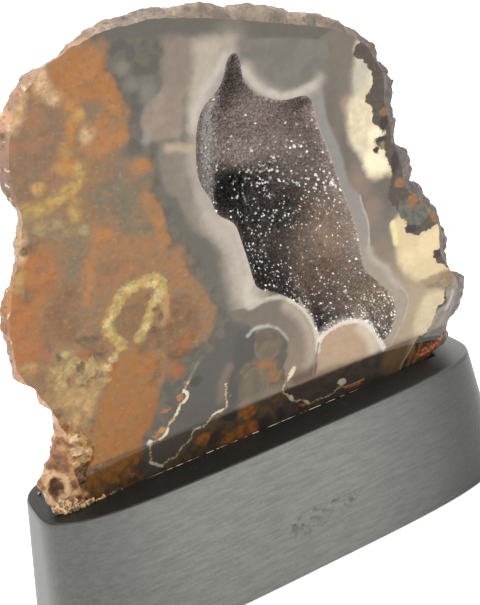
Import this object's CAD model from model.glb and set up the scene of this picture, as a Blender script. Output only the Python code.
# %% [markdown]
# # An agate geode on its black wooden base
# The object is one natural stone. Its front is sawn flat and polished, its other sides keep the rough skin
# that it grew with, and a hollow in the face is lined with small quartz crystals. It stands in a groove in
# a block of black wood. Everything is worked out in millimetres on the polished face, and becomes metres
# where a mesh is made. The first cell loads the plain solids that all the pieces must fit.

# %% Load the solids
import math

import bmesh
import bpy
import numpy as np
from mathutils import Matrix, Vector, geometry, noise


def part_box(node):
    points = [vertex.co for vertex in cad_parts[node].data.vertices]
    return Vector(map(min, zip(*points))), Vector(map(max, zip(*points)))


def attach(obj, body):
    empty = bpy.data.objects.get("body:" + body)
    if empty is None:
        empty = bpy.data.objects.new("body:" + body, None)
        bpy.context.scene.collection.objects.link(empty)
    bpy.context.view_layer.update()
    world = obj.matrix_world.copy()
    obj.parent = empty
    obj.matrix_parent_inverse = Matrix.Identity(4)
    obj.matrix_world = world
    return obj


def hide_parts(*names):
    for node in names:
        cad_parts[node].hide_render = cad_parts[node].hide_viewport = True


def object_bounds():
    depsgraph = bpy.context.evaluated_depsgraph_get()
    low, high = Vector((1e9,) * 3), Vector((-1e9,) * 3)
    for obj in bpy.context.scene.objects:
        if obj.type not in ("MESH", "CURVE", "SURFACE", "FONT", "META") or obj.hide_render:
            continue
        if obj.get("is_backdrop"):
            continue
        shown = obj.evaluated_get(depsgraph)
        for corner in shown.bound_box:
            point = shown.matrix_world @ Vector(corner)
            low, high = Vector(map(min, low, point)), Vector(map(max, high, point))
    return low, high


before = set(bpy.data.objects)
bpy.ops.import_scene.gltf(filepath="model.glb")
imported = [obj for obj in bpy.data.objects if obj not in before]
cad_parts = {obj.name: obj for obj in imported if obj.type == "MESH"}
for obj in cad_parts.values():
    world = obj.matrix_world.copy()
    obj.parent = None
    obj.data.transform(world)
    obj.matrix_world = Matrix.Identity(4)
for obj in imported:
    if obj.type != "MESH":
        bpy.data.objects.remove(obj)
solid_box = [list(corner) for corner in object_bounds()]
MM = 0.001
stone_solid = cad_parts["agate_geode"].data
wood_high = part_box("wooden_base")[1]
print("solids from", solid_box[0], "to", solid_box[1])

# %% [markdown]
# The polished face leans a little forward, so drawing on it is easier in its own directions: x along the
# wood, y up the face, z out of it. The saw cut is by far the largest flat area of the stone, so adding up
# the triangles that look the same way finds it.

# %% Find the saw cut
def largest_flat(mesh):
    """The direction that the largest flat area looks in, and how far that plane lies from the origin."""
    sums = {}
    for face in mesh.polygons:
        key = tuple(round(part, 2) for part in face.normal)
        area, normals, centres = sums.get(key, (0.0, Vector(), Vector()))
        sums[key] = (area + face.area, normals + face.normal * face.area, centres + face.center * face.area)
    area, normals, centres = max(sums.values(), key=lambda found: found[0])
    outward = normals.normalized()
    return outward, outward.dot(centres / area)


outward, plane_offset = largest_flat(stone_solid)
along = Vector((1.0, 0.0, 0.0))
upward = outward.cross(along).normalized()
wood_top = wood_high.z
face_y = (plane_offset - outward.z * wood_top) / outward.y
FACE = Matrix.Translation((0.0, face_y, wood_top)) @ Matrix((along, upward, outward)).transposed().to_4x4()
print("the face leans", round(math.degrees(math.asin(-outward.z)), 2), "degrees and meets the wood at y =",
      round(face_y / MM, 2), "mm")

# %% [markdown]
# The camera stands low in front of the stone's left end and is tilted, so that the wood runs uphill across
# the picture. It is easiest to read as three turns, round the vertical, down and over, and a place. No
# depth of field is used, so that the object is sharp from every side.

# %% Camera
CAMERA_PLACE = Vector((-100.33, -219.26, 164.75)) * MM
TURNED_RIGHT = math.radians(24.64)
LOOKS_DOWN = math.radians(22.50)
TILTED_OVER = math.radians(10.31)
FOCAL_LENGTH = 65.45
SENSOR_WIDTH = 36.0
NEAREST_SEEN = 0.01

camera = bpy.data.objects.new("camera", bpy.data.cameras.new("camera"))
bpy.context.scene.collection.objects.link(camera)
camera.matrix_world = (Matrix.Translation(CAMERA_PLACE) @ Matrix.Rotation(-TURNED_RIGHT, 4, "Z")
                       @ Matrix.Rotation(math.pi / 2 - LOOKS_DOWN, 4, "X")
                       @ Matrix.Rotation(-TILTED_OVER, 4, "Z"))
camera.data.lens = FOCAL_LENGTH
camera.data.sensor_width = SENSOR_WIDTH
camera.data.clip_start = NEAREST_SEEN
bpy.context.scene.camera = camera
print("camera at", [round(part, 3) for part in camera.location])

# %% [markdown]
# The object stands on a white sheet, and the polished stone mirrors it as a milky veil. Only the strip
# above the wood mirrors the black wood instead and shows the stone's deep colours. One large matt square is
# enough, because the room behind it is white too.

# %% White sheet
FLOOR_SIZE = 6.0
PAPER = {"Base Color": (0.92, 0.92, 0.91, 1.0), "Roughness": 0.9, "Specular IOR Level": 0.1}


def link(obj):
    bpy.context.scene.collection.objects.link(obj)
    return obj


def make_floor():
    mesh = bpy.data.meshes.new("floor")
    half = FLOOR_SIZE / 2
    mesh.from_pydata([(-half, -half, 0), (half, -half, 0), (half, half, 0), (-half, half, 0)], [],
                     [(0, 1, 2, 3)])
    paper = bpy.data.materials.new("white_sheet")
    paper.use_nodes = True
    for socket, value in PAPER.items():
        paper.node_tree.nodes["Principled BSDF"].inputs[socket].default_value = value
    mesh.materials.append(paper)
    return link(bpy.data.objects.new("floor", mesh))


floor = make_floor()
floor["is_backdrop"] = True
print("a white sheet of", FLOOR_SIZE, "m")

# %% [markdown]
# The light is soft and comes from everywhere, as in a photographer's tent. Three softboxes give it a
# direction and make the crystals' small faces flash. Each is a round lamp turned to the middle of the
# object.

# %% Softboxes
SKY_STRENGTH = 1.0
SOFTBOXES = {
    "softbox_left": {"place": (-0.75, -0.55, 0.95), "size": 0.55, "power": 11.0},
    "softbox_right": {"place": (0.85, -0.75, 0.75), "size": 0.35, "power": 5.0},
    "softbox_above": {"place": (0.1, 0.25, 1.1), "size": 0.8, "power": 16.0},
}


def make_lights():
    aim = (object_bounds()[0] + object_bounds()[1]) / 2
    for name, box in SOFTBOXES.items():
        light = bpy.data.lights.new(name, "AREA")
        light.shape = "DISK"
        light.size = box["size"]
        light.energy = box["power"]
        lamp = link(bpy.data.objects.new(name, light))
        lamp.location = box["place"]
        lamp.rotation_euler = (aim - lamp.location).to_track_quat("-Z", "Y").to_euler()
    world = bpy.data.worlds.new("white_room")
    world.use_nodes = True
    world.node_tree.nodes["Background"].inputs["Color"].default_value = (1, 1, 1, 1)
    world.node_tree.nodes["Background"].inputs["Strength"].default_value = SKY_STRENGTH
    bpy.context.scene.world = world
    bpy.context.scene.view_settings.view_transform = "Standard"


make_lights()
print(len(SOFTBOXES), "softboxes in a white room")

# %% [markdown]
# The solid is coarse, because it is only there to be weighed and touched. Leaving out its flat polished
# face takes it apart into the rough skin and the wall of the hollow. The edge that each leaves at the saw
# cut becomes the outline of a new, fine face later.

# %% Take the stone apart
FLAT = 0.02
WELD = 0.01


def islands(mesh_maker):
    """The groups of faces that hang together."""
    left = set(mesh_maker.faces)
    while left:
        group, grow = set(), [left.pop()]
        while grow:
            face = grow.pop()
            group.add(face)
            for edge in face.edges:
                for other in edge.link_faces:
                    if other in left:
                        left.remove(other)
                        grow.append(other)
        yield group


def mesh_of(mesh_maker, name):
    mesh = bpy.data.meshes.new(name)
    mesh_maker.to_mesh(mesh)
    mesh_maker.free()
    return mesh


def part_of(mesh, keep_deepest):
    """The skin is the group that reaches deepest behind the face, and the hollow's wall is the other one."""
    mesh_maker = bmesh.new()
    mesh_maker.from_mesh(mesh)
    mesh_maker.transform(Matrix.Scale(1 / MM, 4) @ FACE.inverted())
    bmesh.ops.remove_doubles(mesh_maker, verts=mesh_maker.verts[:], dist=WELD)
    flat = [f for f in mesh_maker.faces if all(abs(v.co.z) < FLAT for v in f.verts)]
    bmesh.ops.delete(mesh_maker, geom=flat, context="FACES")
    groups = sorted(islands(mesh_maker), key=lambda group: min(v.co.z for f in group for v in f.verts))
    unwanted = groups[1:] if keep_deepest else groups[:1] + groups[2:]
    bmesh.ops.delete(mesh_maker, geom=[f for group in unwanted for f in group], context="FACES")
    return mesh_of(mesh_maker, "skin" if keep_deepest else "hollow")


skin_cage = part_of(stone_solid, True)
hollow_cage = part_of(stone_solid, False)
print("skin of", len(skin_cage.polygons), "coarse faces, hollow of", len(hollow_cage.polygons))

# %% [markdown]
# A subdivision surface rounds a coarse cage into the smooth shape that it stands for, and gives the small
# faces that the roughening needs. The modifier is only borrowed: its result is kept as a mesh, and the
# object that carried it goes.

# %% Smooth the two surfaces
SMOOTHING_LEVELS = 2


def subdivided(cage, levels):
    """The smooth surface that a coarse cage stands for."""
    obj = link(bpy.data.objects.new("cage", cage))
    smoothing = obj.modifiers.new("smoothing", "SUBSURF")
    smoothing.levels = levels
    smooth = bpy.data.meshes.new_from_object(obj.evaluated_get(bpy.context.evaluated_depsgraph_get()))
    bpy.data.objects.remove(obj)
    return smooth


skin = subdivided(skin_cage, SMOOTHING_LEVELS)
hollow = subdivided(hollow_cage, SMOOTHING_LEVELS)
print("skin", len(skin.vertices), "points, hollow", len(hollow.vertices), "points")

# %% [markdown]
# The left end of the stone is broken. Rounded crumbs stick together there, and a deep pit with a raised lip
# opens between them. The crumbs are the cells of a pebble noise, and the pit follows the distance from one
# place.

# %% Crumbly left end
CRUMB_SIZE = 3.6
CRUMB_HEIGHT = 2.6
CRUMBLY_LEFT_OF = (42.0, 47.0)
CRUMBLY_BELOW = (24.0, 17.0)
HOLE = Vector((-54.6, 5.9, -1.0))
HOLE_RADIUS, HOLE_TALLER, HOLE_DEPTH, HOLE_LIP = 2.3, 1.7, 3.6, 0.6
LIP_REACH, HOLE_FLOOR = 1.6, 0.4


def eased(value, start, end):
    """0 up to the start, 1 from the end, and soft between them. The start may be the higher one."""
    share = min(1.0, max(0.0, (value - start) / (end - start)))
    return share * share * (3 - 2 * share)


def crumbs_at(place):
    """How far the crumbs push the skin out at a place."""
    crumbly = eased(-place.x, *CRUMBLY_LEFT_OF) * eased(place.y, *CRUMBLY_BELOW)
    if not crumbly:
        return 0.0
    return CRUMB_HEIGHT * crumbly * (0.5 - noise.voronoi(place / CRUMB_SIZE)[0][0])


def hole_at(place):
    """How far the pit pushes the skin out at its lip, or in, which is negative."""
    away = math.hypot(place.x - HOLE.x, (place.y - HOLE.y) / HOLE_TALLER, place.z - HOLE.z)
    lip = HOLE_LIP * eased(away, LIP_REACH * HOLE_RADIUS, HOLE_RADIUS)
    return lip - HOLE_DEPTH * eased(away, HOLE_RADIUS, HOLE_FLOOR * HOLE_RADIUS)


print("the pit sinks to", round(hole_at(HOLE), 2), "mm")

# %% [markdown]
# A natural skin is lumpy at several sizes at once: broad swellings, knobs and grit, with small pits. Each
# is one noise, moved along the surface. Points on the saw cut only move within its plane, which chips the
# edge, and the foot stays smooth so that it still fits the groove.

# %% Roughen the skin
SWELLINGS = (6.0, 0.9)
KNOBS = (2.1, 0.55)
GRIT = (0.9, 0.16)
PIT_SPACING, PIT_REACH, PIT_DEPTH = 3.2, 0.3, 0.5
RIGHT_ROUGHER = 1.5
ROUGHER_RIGHT_OF = (20.0, 40.0)
EDGE_CHIPS = 0.6
HELD_BY_CUT, CHIPPED_BY_CUT = 1.5, 2.0
SMOOTH_FOOT = (0.3, 3.0)


def roughen(mesh):
    # The normals are read first, because each move would make Blender work them all out again.
    normals = [vertex.normal.copy() for vertex in mesh.vertices]
    for vertex, normal in zip(mesh.vertices, normals):
        place, depth = vertex.co.copy(), -vertex.co.z
        push = 0.0
        for size, height in (SWELLINGS, KNOBS, GRIT):
            push += height * noise.noise(place / size + Vector((size, 0.0, 3.0)))
        pit = noise.voronoi(place / PIT_SPACING)[0][0]
        push -= PIT_DEPTH * max(0.0, PIT_REACH - pit)
        push += crumbs_at(place)
        push += hole_at(place)
        push *= 1.0 + (RIGHT_ROUGHER - 1.0) * eased(place.x, *ROUGHER_RIGHT_OF)
        move = normal * push
        move.z *= eased(depth, 0.0, HELD_BY_CUT)
        share = EDGE_CHIPS + (1.0 - EDGE_CHIPS) * eased(depth, 0.0, CHIPPED_BY_CUT)
        vertex.co = place + move * share * eased(place.y, *SMOOTH_FOOT)


roughen(skin)
print("skin roughened by up to", SWELLINGS[1] + KNOBS[1] + GRIT[1], "mm")

# %% [markdown]
# The markings are drawn as curves through a few points each. A point's distance from a curve is all that a
# material needs to draw a band, a line or a soft patch, so these helpers work distances out for many points
# at once.

# %% Curves and distances
def drawn(points, closed=True, steps=5):
    """A smooth curve through points marked by hand."""
    marks = np.array(points, float)
    count = len(marks)
    last = count if closed else count - 1
    index = np.arange(last)

    def mark(step):
        chosen = index + step
        return marks[chosen % count if closed else np.clip(chosen, 0, count - 1)]

    a, b, c, d = (mark(step)[:, None, :] for step in (-1, 0, 1, 2))
    t = (np.arange(steps) / steps)[None, :, None]
    curve = 0.5 * (2 * b + (c - a) * t + (2 * a - 5 * b + 4 * c - d) * t**2
                   + (3 * b - a - 3 * c + d) * t**3)
    curve = curve.reshape(-1, 2)
    return curve if closed else np.vstack([curve, marks[-1:]])


def distance_to(places, curve, closed=True):
    nearest = np.full(len(places), np.inf)
    ends = np.roll(curve, -1, axis=0) if closed else curve[1:]
    for start, end in zip(curve, ends):
        side = end - start
        share = np.clip((places - start) @ side / max(side @ side, 1e-12), 0.0, 1.0)
        gap = places - start - share[:, None] * side
        nearest = np.minimum(nearest, gap[:, 0] ** 2 + gap[:, 1] ** 2)
    return np.sqrt(nearest)


def inside_of(places, curve):
    inside = np.zeros(len(places), bool)
    x, y = places.T
    for (ax, ay), (bx, by) in zip(curve, np.roll(curve, -1, axis=0)):
        if ay == by:
            continue
        crossed = (ay > y) != (by > y)
        inside ^= crossed & (x < ax + (y - ay) * (bx - ax) / (by - ay))
    return inside


print("a curve through 4 points has", len(drawn([(0, 0), (1, 0), (1, 1), (0, 1)])), "points")

# %% [markdown]
# Three kinds of shape are enough for all the markings: a closed patch, a stroke and an oval blob. Each says
# how far a place lies outside it, in millimetres, and is negative inside. A fine stroke also hands out its
# line, because the face must be finer along it.

# %% Shapes on the face
FINE_STROKE = 0.6


def patch(*points):
    """A closed patch of the face."""
    def measure(places):
        curve = drawn(points)
        return distance_to(places, curve) * np.where(inside_of(places, curve), -1.0, 1.0)
    return measure


def stroke(half_width, *points):
    """A line drawn along the points, as thick as twice the half width."""
    def measure(places):
        return distance_to(places, drawn(points, closed=False), closed=False) - half_width
    measure.line = drawn(points, closed=False) if half_width < FINE_STROKE else None
    return measure


def blob(x, y, long, short, turned=0.0):
    """An oval spot: its middle, its two half sizes, and its turn in degrees."""
    turn = math.radians(turned)
    across = np.array([[math.cos(turn), math.sin(turn)], [-math.sin(turn), math.cos(turn)]])

    def measure(places):
        local = (places - (x, y)) @ across.T / (long, short)
        return (np.hypot(local[:, 0], local[:, 1]) - 1.0) * min(long, short)
    return measure


def blobs(*ovals):
    return [blob(*oval) for oval in ovals]


print("the middle of a blob of 2 by 1 mm measures", float(blob(0, 0, 2, 1)(np.zeros((1, 2)))[0]), "mm")

# %% [markdown]
# A marking is one finish with all the shapes that show it, and they go from the bottom coat to the top one.
# Its colour is written as it looks through the polish, from 0 to 255. The edge may be soft or ragged, with
# steps of one grain. A second colour mottles the first, and a low colour takes over towards the foot.

# %% What a marking is
MARKINGS = []


def marking(name, colour, shapes, soft=0.5, ragged=0.3, grain=2.0, second=None, mottle=4.0, share=0.5,
            low_colour=None, low=(20.0, 70.0), strip=False):
    """Adds one finish: its look, where it lies, and how its edge and its mottling run."""
    MARKINGS.append({"name": name, "colour": colour, "shapes": shapes, "soft": soft, "ragged": ragged,
                     "grain": grain, "second": second, "mottle": mottle, "share": share,
                     "low_colour": low_colour, "low": low, "strip": strip})


print("a marking is at first", marking.__defaults__[:3], "soft, ragged and grainy in mm")

# %% [markdown]
# The agate grew in bands that follow the hollow. Pinkish and grey coats lie on the left, and on the right
# the stone lets light through and glows cream beside the dark rind. RIM_LEFT runs down the hollow's left
# edge, and QUARTZ_OUTER down the line where the quartz on its right begins.

# %% Agate on both sides of the hollow
RIM_LEFT = [(1, 94.4), (0.6, 89.9), (-1.9, 86.7), (-4.1, 84.7), (-6.7, 82.9), (-8, 80.2), (-8.8, 76.7),
    (-9.9, 73.7), (-11, 71.6), (-10.4, 67.5), (-9.7, 64.4), (-8.6, 61.3), (-7.2, 59.2), (-5, 57.1),
    (-2.9, 54.4), (-1.8, 51.2), (-1.2, 47.5), (-0.7, 43.3), (-0.5, 38.9)]
QUARTZ_OUTER = [(21.4, 89.7), (21.8, 83.9), (22, 79.9), (22.4, 75.7), (22.8, 71.5), (24.5, 66.8),
    (25.8, 62.4), (26.5, 58.5), (27.4, 55.1), (29.9, 51.3), (30.5, 48.1), (31.6, 44.4), (31.7, 40.4),
    (31.4, 37.1), (32.4, 34.1), (34.9, 31.6), (36.5, 29.7), (37.6, 26.8), (39.6, 24.2), (41.3, 22.1),
    (42.1, 19.6), (41.6, 16.9), (40.2, 13.9), (38.2, 11.2), (35.9, 8.3), (33.9, 6.4)]
FAR_RIGHT = [(70, -8), (70, 95)]
marking("pink_agate", (157, 142, 130), [patch((-18.8, 87.3), (-16, 88.2), (-12.5, 93.1), (-10.9, 97.2),
    (-6.6, 96.2), (-8.2, 91.2), (-10.3, 86.7), (-11.4, 82.4), (-13.1, 77.7), (-16.5, 78), (-19.4, 78.3),
    (-20.9, 81.1), (-21, 83.7), (-19.9, 85.9))], soft=1.6, second=(148, 135, 124), mottle=5)
marking("pink_agate_top", (143, 131, 121), [patch((-14.1, 98.3), (-7.9, 96.9), (-8.1, 92.4), (-9.5, 87.8),
    (-12.1, 87), (-14.3, 88.6), (-15.2, 92.9))], soft=3)
marking("grey_by_pink", (136, 128, 118), [patch((-18.2, 77.6), (-13.7, 77), (-13, 72.4), (-13.4, 66.8),
    (-16, 65.4), (-18, 67.1), (-18.6, 71.8)), stroke(1.63, (-14.4, 66.5), (-13.2, 61.5), (-10.6, 56))],
    soft=1.8)
marking("low_grey_agate", (107, 104, 100), blobs((-12.7, 20, 10.61, 15.38, -48),
    (-5.7, 24.6, 5.85, 5.32, -21)), soft=7)
marking("pale_agate_wide", (148, 139, 129), [stroke(3, *RIM_LEFT)], soft=7, ragged=0.6)
marking("pale_agate_side", (146, 137, 127), [stroke(3, *[(x - 2.8, y) for x, y in RIM_LEFT[12:]])], soft=6,
    ragged=0.5)
marking("pale_agate_corner", (180, 170, 157), [patch((-10.9, 65.9), (-9.1, 63), (-6.3, 58.4), (-2.4, 53.8),
    (-0.6, 48.3), (-1.1, 37.9), (-3.3, 35.6), (-4.2, 42.1), (-5.3, 47.9), (-8.5, 53.4), (-10.7, 58.9))],
    soft=4.4, ragged=0.5)
marking("pale_agate_low", (186, 176, 162), [stroke(3.6, *RIM_LEFT[13:]), stroke(3.58, (-2.3, 44.9),
    (-2.1, 40.3), (-1.7, 35.5))], soft=7.6, ragged=0.5)
marking("warm_agate_right", (128, 120, 112), [patch(*QUARTZ_OUTER, *FAR_RIGHT)], soft=0.4, ragged=0.1,
    low_colour=(176, 158, 134), low=(16, 44))
marking("dark_right", (118, 111, 103), blobs((37.2, 50.3, 3.83, 6.01, 1), (26.9, 63.2, 1.79, 5.64, -4),
    (23.5, 73.1, 1.23, 5.92, -8)), soft=4.5)
marking("warm_spots_right", (143, 127, 115), blobs((32.9, 46.5, 2.74, 3.83, 1), (30.1, 55, 2.65, 3.71, 1),
    (34.5, 35, 3.41, 3.41)), soft=4)
marking("pink_spot_right", (162, 143, 127), [blob(28.6, 73.9, 2.24, 2.24)], soft=1.8)
marking("glow_upper", (224, 210, 182), [patch((32, 87.2), (30.8, 78.6), (29.4, 74.8), (27.9, 72),
    (27.8, 67.8), (28.6, 64.2), (30.6, 61), (32.3, 57.8), (33.8, 54.6), (36, 54), (38, 54.6), (41.5, 54.1),
    (42.1, 66.3), (37.5, 81.5), (37.8, 85.9))], soft=2.6, ragged=0.5, grain=3, second=(212, 198, 168),
    mottle=3)
marking("glow_upper_top", (190, 183, 166), [blob(32.5, 80.4, 2.22, 4.44, -18)], soft=3.5)
marking("glow_bright", (244, 232, 200), blobs((35, 64.8, 1.82, 2.08, -15), (34, 58.8, 2.38, 3.17, -3),
    (36.8, 57.2, 1.61, 1.61)), soft=2.4, ragged=0.4)
marking("glow_middle", (214, 195, 158), [patch((38.1, 40.7), (40.9, 43), (43.7, 40.7), (52.7, 37.1),
    (55.6, 31.2), (55.4, 24), (50.3, 22.9), (46.6, 22.8), (43, 25.5), (40.7, 28.5), (39.4, 32.2),
    (39.3, 36))], soft=2.4, ragged=0.5, grain=3, second=(216, 194, 156), mottle=3)
marking("glow_middle_bright", (226, 205, 166), blobs((48.8, 32.3, 3.55, 3.55), (43.2, 30.9, 2.93, 2.35, -19),
    (50.7, 32.8, 2.08, 3.56, -18)), soft=3, ragged=0.4)
marking("glow_streak", (228, 216, 162), [stroke(0.74, (38.7, 41.6), (39.2, 38.8), (39.3, 36))], soft=1)
marking("glow_lower", (210, 196, 164), [patch((48.9, 19.4), (52.1, 18.5), (55.2, 16.5), (54.5, 13.6),
    (51.9, 12.5), (49.8, 8.8), (47.8, 6.9), (44, 8.4), (43.6, 12.1), (45.7, 16.5))], soft=3, ragged=0.5,
    grain=3, second=(204, 188, 156), mottle=3)
marking("brown_shadow", (142, 126, 109), [patch((46, 23), (49.1, 23.3), (52.3, 23.6), (55.4, 23.4),
    (57.9, 20.8), (56.6, 18.4), (54, 18.4), (50.8, 19.6), (48.1, 20.8))], soft=1.4, ragged=0.4,
    second=(164, 145, 118), mottle=2.4)
print(len(MARKINGS), "markings so far")

# %% [markdown]
# The hollow has a rim of clear grey quartz, and below it a grey and a peach lobe of agate stand side by
# side. Where agate meets open space its last layers are nearly white, which soft strokes along the edges
# draw.

# %% Quartz rim, lobes and pale edges
LOBE_EDGE = [(-1.9, 33.5), (0.2, 33.8), (2.9, 33.8), (6.1, 33.2), (8.6, 31.7), (10.6, 29.7), (12.6, 27.1),
    (14, 24.1), (14.8, 21), (15.1, 17.8), (14.8, 15.1)]
PEACH_EDGE = [(15.4, 17.7), (16.9, 19.1), (19.3, 19.8), (22.3, 20.1), (25.2, 19.6), (27.8, 18.6), (30, 16.4),
    (31.9, 13.3), (33.2, 10.5), (34, 8.1)]
marking("quartz_rim", (147, 142, 137), [patch(*QUARTZ_OUTER, (10, 10), (10, 60), (14, 86))], soft=1.2,
    ragged=0.12, low_colour=(168, 154, 140), low=(14, 60))
marking("grey_top_lobe", (124, 121, 115), [patch((3.3, 93.9), (3.5, 88.4), (5, 85), (7.2, 83), (10.4, 81),
    (14.4, 80.5), (18.5, 80.8), (22.2, 82.5), (23.3, 89.2))], soft=0.8, ragged=0.1, second=(130, 126, 119),
    mottle=6)
marking("quartz_line", (186, 175, 163), [stroke(0.22, *QUARTZ_OUTER[9:])], soft=0.6, ragged=0.12)
marking("quartz_line_glow", (178, 166, 154), [stroke(0.8, *QUARTZ_OUTER[13:19])], soft=1.8)
marking("lobe", (128, 119, 110), [patch(*LOBE_EDGE, (14.3, 12), (13, 6), (10, 0), (4, 12), (-2, 28),
    (-8, 34))], soft=0.7, ragged=0.1, low_colour=(150, 133, 118), low=(12, 30))
marking("lobe_warm_side", (178, 162, 146), [stroke(1.42, (7.7, 30.5), (10.9, 26.6), (12.7, 22.1),
    (13.3, 17.4), (12.7, 13.7), (11, 10.9))], soft=3.2)
marking("lobe_foot", (118, 103, 92), [stroke(1.74, (8, 9.9), (12, 9.9), (14.4, 10.1))], soft=3)
marking("peach", (187, 163, 138), [patch(*PEACH_EDGE, (33, 4), (28, -4), (14, -4), (13, 6), (14.6, 12))],
    ragged=0.1, second=(184, 158, 133), mottle=7)
marking("peach_pale_side", (206, 192, 172), [stroke(1.8, (27.9, 16.9), (30.4, 13.1), (31, 8.7))], soft=2.6)
marking("peach_foot", (134, 116, 101), [stroke(1.51, (14.2, 7.9), (20.6, 7.3), (27.2, 6.7), (32.7, 6.6))],
    soft=2.6)
marking("cream_glow", (172, 163, 152), [stroke(1.2, *RIM_LEFT), stroke(1.17, (4, 88.3), (6.3, 83.8),
    (12.2, 79.5), (18.3, 79.5), (21.6, 81.3))], soft=3.4, grain=3)
marking("cream_by_hollow", (190, 181, 169), [stroke(0.8, *[(x - 0.4, y) for x, y in RIM_LEFT[13:]]),
    stroke(0.84, (3.4, 88), (5.8, 83.9), (9, 81.4), (12.3, 79.7), (16.3, 79.8), (20, 80.4))], soft=1.7,
    ragged=0.25)
marking("cream_upper_side", (178, 168, 153), [patch((-6.5, 96.6), (0.1, 95), (-2.8, 90.7), (-5.2, 86.7),
    (-7.9, 84), (-9.3, 81.4), (-10.4, 81.7), (-10.1, 85), (-8.9, 88.5), (-7.6, 92.3))], soft=3, ragged=0.25)
marking("cream_upper", (192, 183, 172), [stroke(1.1, (-0.8, 91.5), (-3.9, 88.1), (-6.6, 85.4), (-8.7, 82.1),
    (-9.9, 79))], soft=2.6, ragged=0.25)
marking("cream_corner", (196, 188, 175), [stroke(1.04, (-1.9, 40.2), (-2.1, 36.7), (-1.9, 34), (-0.2, 34.4))],
    soft=1.6, ragged=0.2)
marking("sandy_bar", (176, 160, 137), [stroke(0.98, (-16.1, 76.1), (-13.4, 75.4), (-10.8, 74.2))], soft=1.4)
marking("lobe_rim", (190, 181, 168), [stroke(0.6, *LOBE_EDGE[:5])], soft=0.9, ragged=0.2, grain=0.8)
marking("lobe_rim_bright", (206, 198, 184), [stroke(0.75, *LOBE_EDGE[4:])], soft=0.8, ragged=0.25, grain=0.8)
marking("peach_rim", (224, 214, 200), [stroke(0.7, *PEACH_EDGE)], soft=0.7, ragged=0.35, grain=0.8)
marking("lobe_seam", (140, 124, 111), [stroke(0.17, (15.3, 17.2), (14.5, 14.7), (13.7, 12.1), (12.8, 9))],
    soft=0.35, ragged=0.1)
print(len(MARKINGS), "markings so far")

# %% [markdown]
# A dark grey band parts the agate from the jasper. From its foot a brown tongue with round discs reaches
# up beside the lobes.

# %% Dark band and tongue
BAND_RIGHT = [(-14.4, 98), (-15.1, 93.7), (-17.7, 88.6), (-19.8, 86.3), (-21.7, 83), (-21.6, 78.7),
    (-19.4, 78.1), (-18.3, 76.9), (-19.4, 73.1), (-19.1, 69.2), (-17.9, 64.8), (-16.9, 59.4), (-15.2, 54.6),
    (-13, 50), (-10.8, 44.4), (-9.1, 40.2), (-7.9, 36.2), (-7.5, 31.4), (-10, 28.1), (-12.9, 26.1),
    (-16.3, 24.2), (-20.4, 21), (-23.4, 17.9), (-26.1, 14.1), (-28.6, 11.3), (-31.5, 9.3), (-33.1, 5.5),
    (-34.7, -0.6), (-36.6, -5.6)]
BAND_LEFT = [(-28.3, 101.2), (-28.3, 96.9), (-26.8, 93.4), (-25.2, 89.3), (-23.5, 85.6), (-24.3, 81),
    (-26.5, 78.4), (-25.2, 75.9), (-21.5, 73.9), (-21.1, 71.2), (-21.2, 67.6), (-19.9, 64.1), (-19.4, 60.2),
    (-19.3, 56), (-18.9, 52.5), (-16.6, 48.8), (-14.3, 44.6), (-11.2, 38.4), (-10.8, 33.7), (-13.3, 30.4),
    (-16.7, 28.6), (-20.4, 27.4), (-24.4, 24.8), (-26.9, 21.6), (-29, 18.1), (-31.6, 14.4), (-34.7, 11.3),
    (-36.2, 6.9), (-37.1, 0.5), (-38.5, -4.6)]
marking("dark_band", (107, 104, 99), [patch(*BAND_RIGHT, *reversed(BAND_LEFT))], soft=1.5, ragged=0.6,
    second=(119, 114, 104), mottle=3)
marking("pale_in_band", (131, 128, 119), blobs((-23, 94.6, 1.63, 1.42, -14), (-18.5, 88.8, 1.89, 2.52, -14),
    (-21.7, 90.9, 1.65, 1.24, -14)), soft=2.4, ragged=0.4)
marking("band_edge_shine", (150, 146, 137), [blob(-20.4, 79.3, 0.86, 1.29, -16)], soft=1.6)
marking("grey_left_of_tongue", (101, 99, 96), [patch((-5.8, 28.1), (-1.7, 26.5), (-1.1, 22.8), (-2.6, 19.8),
    (-5.9, 19.5), (-7.8, 16.9), (-8, 11.4), (-10.3, 10.1), (-10, 16.7), (-7.4, 23.9))], soft=1.6)
marking("pink_by_vein", (130, 119, 110), [stroke(1.21, (-9.2, 20.3), (-11.2, 17.2), (-12.4, 12.7))], soft=1.8)
marking("tongue", (112, 104, 92), [patch((-1.4, 25.3), (0.4, 26.5), (3.1, 26.3), (5.4, 24.4), (6.6, 20.8),
    (6.3, 17.4), (5.2, 15), (5.3, 11.5), (4.2, 8.6), (5, 5.9), (5.9, 3.5), (5.5, -2.9), (-11.8, -1.1),
    (-10.7, 3.4), (-9.4, 7.2), (-8.1, 10.3), (-7.4, 14), (-6.7, 17.6), (-4.8, 19.3), (-2.5, 20),
    (-2.2, 22.9))], soft=0.8, ragged=0.4, second=(120, 112, 99), mottle=3)
marking("tongue_discs", (119, 111, 99), blobs((1.1, 20.5, 3.01, 2.74, -22), (-3.5, 12.3, 3.88, 5.27, -13)),
    soft=0.7, ragged=0.2, second=(127, 117, 102), mottle=2.4)
marking("disc_rings", (134, 122, 104), [stroke(0.19, (-1.5, 23.8), (-1.9, 21.1), (-0.5, 19), (2.1, 17.9),
    (4.2, 19.3)), stroke(0.19, (-6.4, 17.5), (-4.8, 19), (-2.2, 18.5), (0.2, 15.9), (0.3, 11.9), (-0.7, 8.3),
    (-3.1, 6.7)), stroke(0.17, (-5.5, 16), (-3.4, 17.4), (-1.4, 16), (-1, 12.4), (-2.2, 9.5))], ragged=0.15)
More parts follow.
